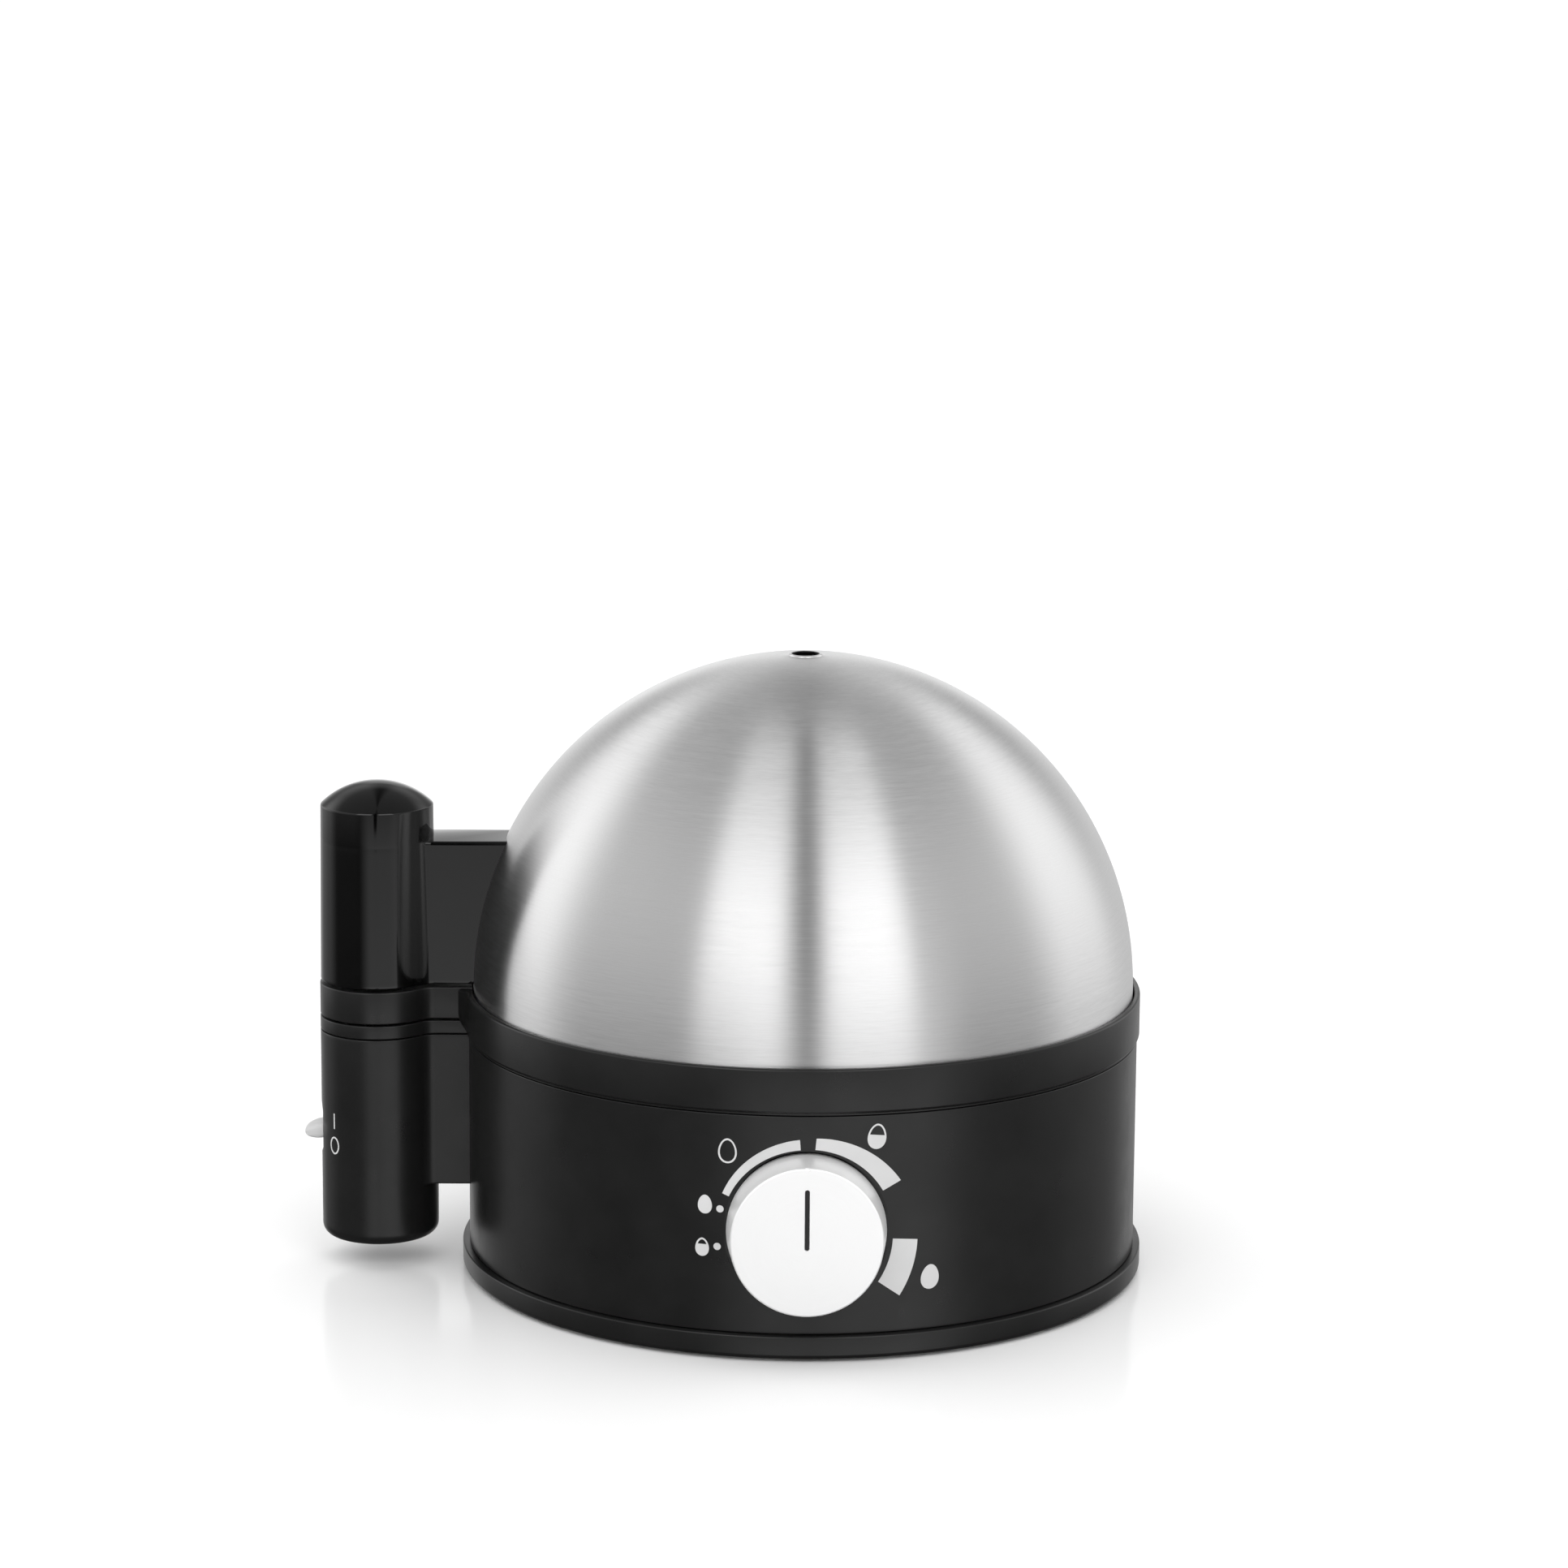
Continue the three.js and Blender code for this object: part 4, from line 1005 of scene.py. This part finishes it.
def on_column(u, v, rise):
    angle = radians(SWITCH_MARKS_AT) + u / COLUMN_RADIUS
    radius = COLUMN_RADIUS + rise
    return COLUMN_X + radius * cos(angle), radius * sin(angle), v


def dial_arc(first, last, inner, outer):
    """A stripe round the dial that grows wider; angles run clockwise from the top."""
    def side(angles, radii):
        return [(radius * sin(radians(a)), DIAL_Z + radius * cos(radians(a)))
                for a, radius in zip(angles, radii)]
    steps = 36
    return (side(spread(first, last, steps), spread(*inner, steps))
            + side(spread(last, first, steps), spread(outer[1], outer[0], steps)))


def egg(centre, width, height, tilt=0, margin=0, above=None):
    """An egg's outline, less a margin; only what is above a share of its height, where given."""
    points = []
    for a in spread(0, 360, 48)[:-1]:
        x = (width / 2 - margin) * cos(radians(a)) * (1 - 0.13 * sin(radians(a)))
        y = (height / 2 - margin) * sin(radians(a)) - 0.02 * height
        if above is None or y > above * height:
            points.append((x, y))
    c, s = cos(radians(tilt)), sin(radians(tilt))
    return [(centre[0] + x * c + y * s, centre[1] - x * s + y * c) for x, y in points]


def dial_marks():
    stroke = 0.43
    printed("mark_soft", [dial_arc(-66, -4.3, (20.6, 20.6), (22.35, 23.2))], on_front)
    printed("mark_medium", [dial_arc(5.5, 61.5, (20.75, 21), (23.6, 25.9))], on_front)
    printed("mark_hard", [dial_arc(96, 126.3, (21.1, 21.7), (27.15, 28.2))], on_front)
    for i, spot in enumerate(((-20.95, 37.6), (-21.6, 28.1))):
        printed(f"mark_dot_{i + 1}", [arc(spot, 0.9, 0, 345, 23)], on_front)
    soft, medium = ((-19.2, 52.4), 4.5, 6.2), ((16.9, 56.3), 4.5, 6.3, 6)
    keep_medium = ((-25.25, 27.8), 3.3, 4.6)
    printed("mark_egg_soft", [egg(*soft), egg(*soft, margin=stroke)], on_front)
    printed("mark_egg_medium", [egg(*medium), egg(*medium, margin=stroke, above=0.03)], on_front)
    printed("mark_egg_hard", [egg((30.2, 20), 4.4, 6.2, 5)], on_front)
    printed("mark_egg_keep_hard", [egg((-24.6, 38.6), 3.4, 4.7)], on_front)
    printed("mark_egg_keep_medium",
            [egg(*keep_medium), egg(*keep_medium, margin=stroke, above=0.1)], on_front)


def switch_marks():
    half, low, high = 0.2, 36.9, 40.95
    printed("mark_on", [[(-half, low), (half, low), (half, high), (-half, high)]], on_column)
    wide, tall, middle, stroke = 1.72, 2.3, 32.5, 0.4
    ring = [[((wide - inset) * cos(a), middle + (tall - inset) * sin(a))
             for a in spread(0, 2 * pi, 48)[:-1]] for inset in (0, stroke)]
    printed("mark_off", ring, on_column)


def inner_nodes():
    """The working parts inside keep their CAD shape, with each slot's material."""
    for row in frame["record"]["subparts"]:
        obj = frame["nodes"][row["node"]]
        if not obj.hide_render:
            obj.data.materials.clear()
            obj.data.materials.append(MATERIALS[row["material_slot"]])


# ---- the studio ---------------------------------------------------------------------------------


def camera():
    place = Vector((-17.8, -1199.9, 367.56)) * MM + AXIS
    yaw, pitch, roll = 0.01045, 0.1989, 0.00664
    forward = Vector((sin(yaw) * cos(pitch), cos(yaw) * cos(pitch), -sin(pitch)))
    side = forward.cross(Vector((0, 0, 1))).normalized()
    up = side.cross(forward)
    right, top = side * cos(roll) + up * sin(roll), up * cos(roll) - side * sin(roll)
    data = bpy.data.cameras.new("camera")
    data.lens, data.sensor_width, data.clip_start, data.clip_end = 110.06, 36, 0.05, 50
    obj = bpy.data.objects.new("camera", data)
    obj.matrix_world = Matrix.Translation(place) @ Matrix((right, top, -forward)).transposed().to_4x4()
    bpy.context.scene.collection.objects.link(obj)
    bpy.context.scene.camera = obj


# The studio's soft boxes round the cooker: the azimuth of the middle, from the front towards +X, and
# half the width; the elevation of the middle and half the height; the softness of the edges, all in
# degrees; and the brightness, which a black flag takes away from what is behind it.
SOFT_BOXES = {
    "front_left": (-23, 16, 29, 20, 6, 1.9),
    "front_right": (23, 16, 29, 20, 6, 1.9),
    "front_low": (14, 36, -20, 9, 26, 1.4),
    "black_flag": (0.9, 2.6, 22, 31, 3, -2.0),
    "low_flag": (0.9, 2.6, -32, 12, 3, -2.0),
    "side_left": (-64, 28, 20, 26, 16, 0.34),
    "side_right": (64, 28, 15, 28, 24, 0.3),
    "left": (-117, 22, 13, 24, 24, 0.95),
    "right": (116, 22, 13, 24, 24, 0.85),
    "back_left": (-162, 22, -12, 20, 20, 0.5),
    "back_right": (162, 22, -12, 20, 20, 0.45),
    "backdrop": (180, 9, 12, 13, 8, 0.42),
    "walls": (0, 400, 18, 24, 16, 0.27),
    "upper_left": (-90, 83, 60, 34, 12, 0.26),
    "upper_right": (90, 83, 60, 34, 12, 0.26),
}
ROOM_GREY = 0.08
CEILING_WATTS = 120


def world():
    """Soft boxes in a dim room; what the camera sees directly is white."""
    made = bpy.data.worlds.new("studio")
    made.use_nodes = True
    made.node_tree.nodes.clear()
    nodes = Nodes(made.node_tree)
    x, y, z = nodes.parts(nodes.add("ShaderNodeTexCoord"))
    azimuth = nodes.math("DEGREES", nodes.math("ARCTAN2", x, nodes.math("MULTIPLY", y, -1)))
    elevation = nodes.math("DEGREES", nodes.math("ARCSINE", z))
    light = ROOM_GREY
    for middle, half_width, height, half_height, edge, brightness in SOFT_BOXES.values():
        away = nodes.math("ABSOLUTE", nodes.math("SUBTRACT", azimuth, middle))
        around = nodes.math("MINIMUM", away, nodes.math("SUBTRACT", 360, away))
        up = nodes.math("ABSOLUTE", nodes.math("SUBTRACT", elevation, height))
        parts = [nodes.from_to(value, half - edge / 2, half + edge / 2, 1, 0, "SMOOTHSTEP")
                 for value, half in ((around, half_width), (up, half_height))]
        shape = nodes.math("MULTIPLY", *parts)
        light = nodes.math("MULTIPLY_ADD", shape, brightness, light)
    light = nodes.math("MAXIMUM", light, 0)
    seen = nodes.add("ShaderNodeLightPath")
    strength = nodes.math("MULTIPLY_ADD", nodes.math("SUBTRACT", 1.05, light), seen, light)
    background = nodes.add("ShaderNodeBackground", ("Color", (1, 1, 1, 1)), ("Strength", strength))
    nodes.add("ShaderNodeOutputWorld", (0, background))
    bpy.context.scene.world = made


def ceiling():
    """A wide soft light above, which whitens the table but makes no reflection of its own."""
    data = bpy.data.lights.new("ceiling", "AREA")
    data.size, data.energy = 6, CEILING_WATTS
    obj = bpy.data.objects.new("ceiling", data)
    obj.location = (*AXIS.xy, 2)
    obj.visible_glossy = False
    bpy.context.scene.collection.objects.link(obj)


def floor():
    """A plain white table; it isn't seen in the cooker's own reflections."""
    bm = bmesh.new()
    bmesh.ops.create_circle(bm, cap_ends=True, segments=96, radius=1.2)
    obj = shown_as("floor", bm)
    finish = Finish("floor_white", grey(0.88), 0.16, Specular_IOR_Level=0.35)
    finish.vary_roughness(finish.noise(finish.millimetres(), 0.01), 0.14, 0.18)
    obj.data.materials.append(finish.material)
    obj.visible_glossy = False


lid_dome()
lid_handle()
handle_plug()
handle_screws()
egg_tray()
collar_ring()
base_housing()
bottom_plate()
feet()
base_screws()
heating_plate()
cord_gland()
control_knob()
knob_pointer()
switch_lever()
dial_marks()
switch_marks()
inner_nodes()

camera()
world()
ceiling()
floor()
bpy.context.scene.view_settings.view_transform = "Standard"
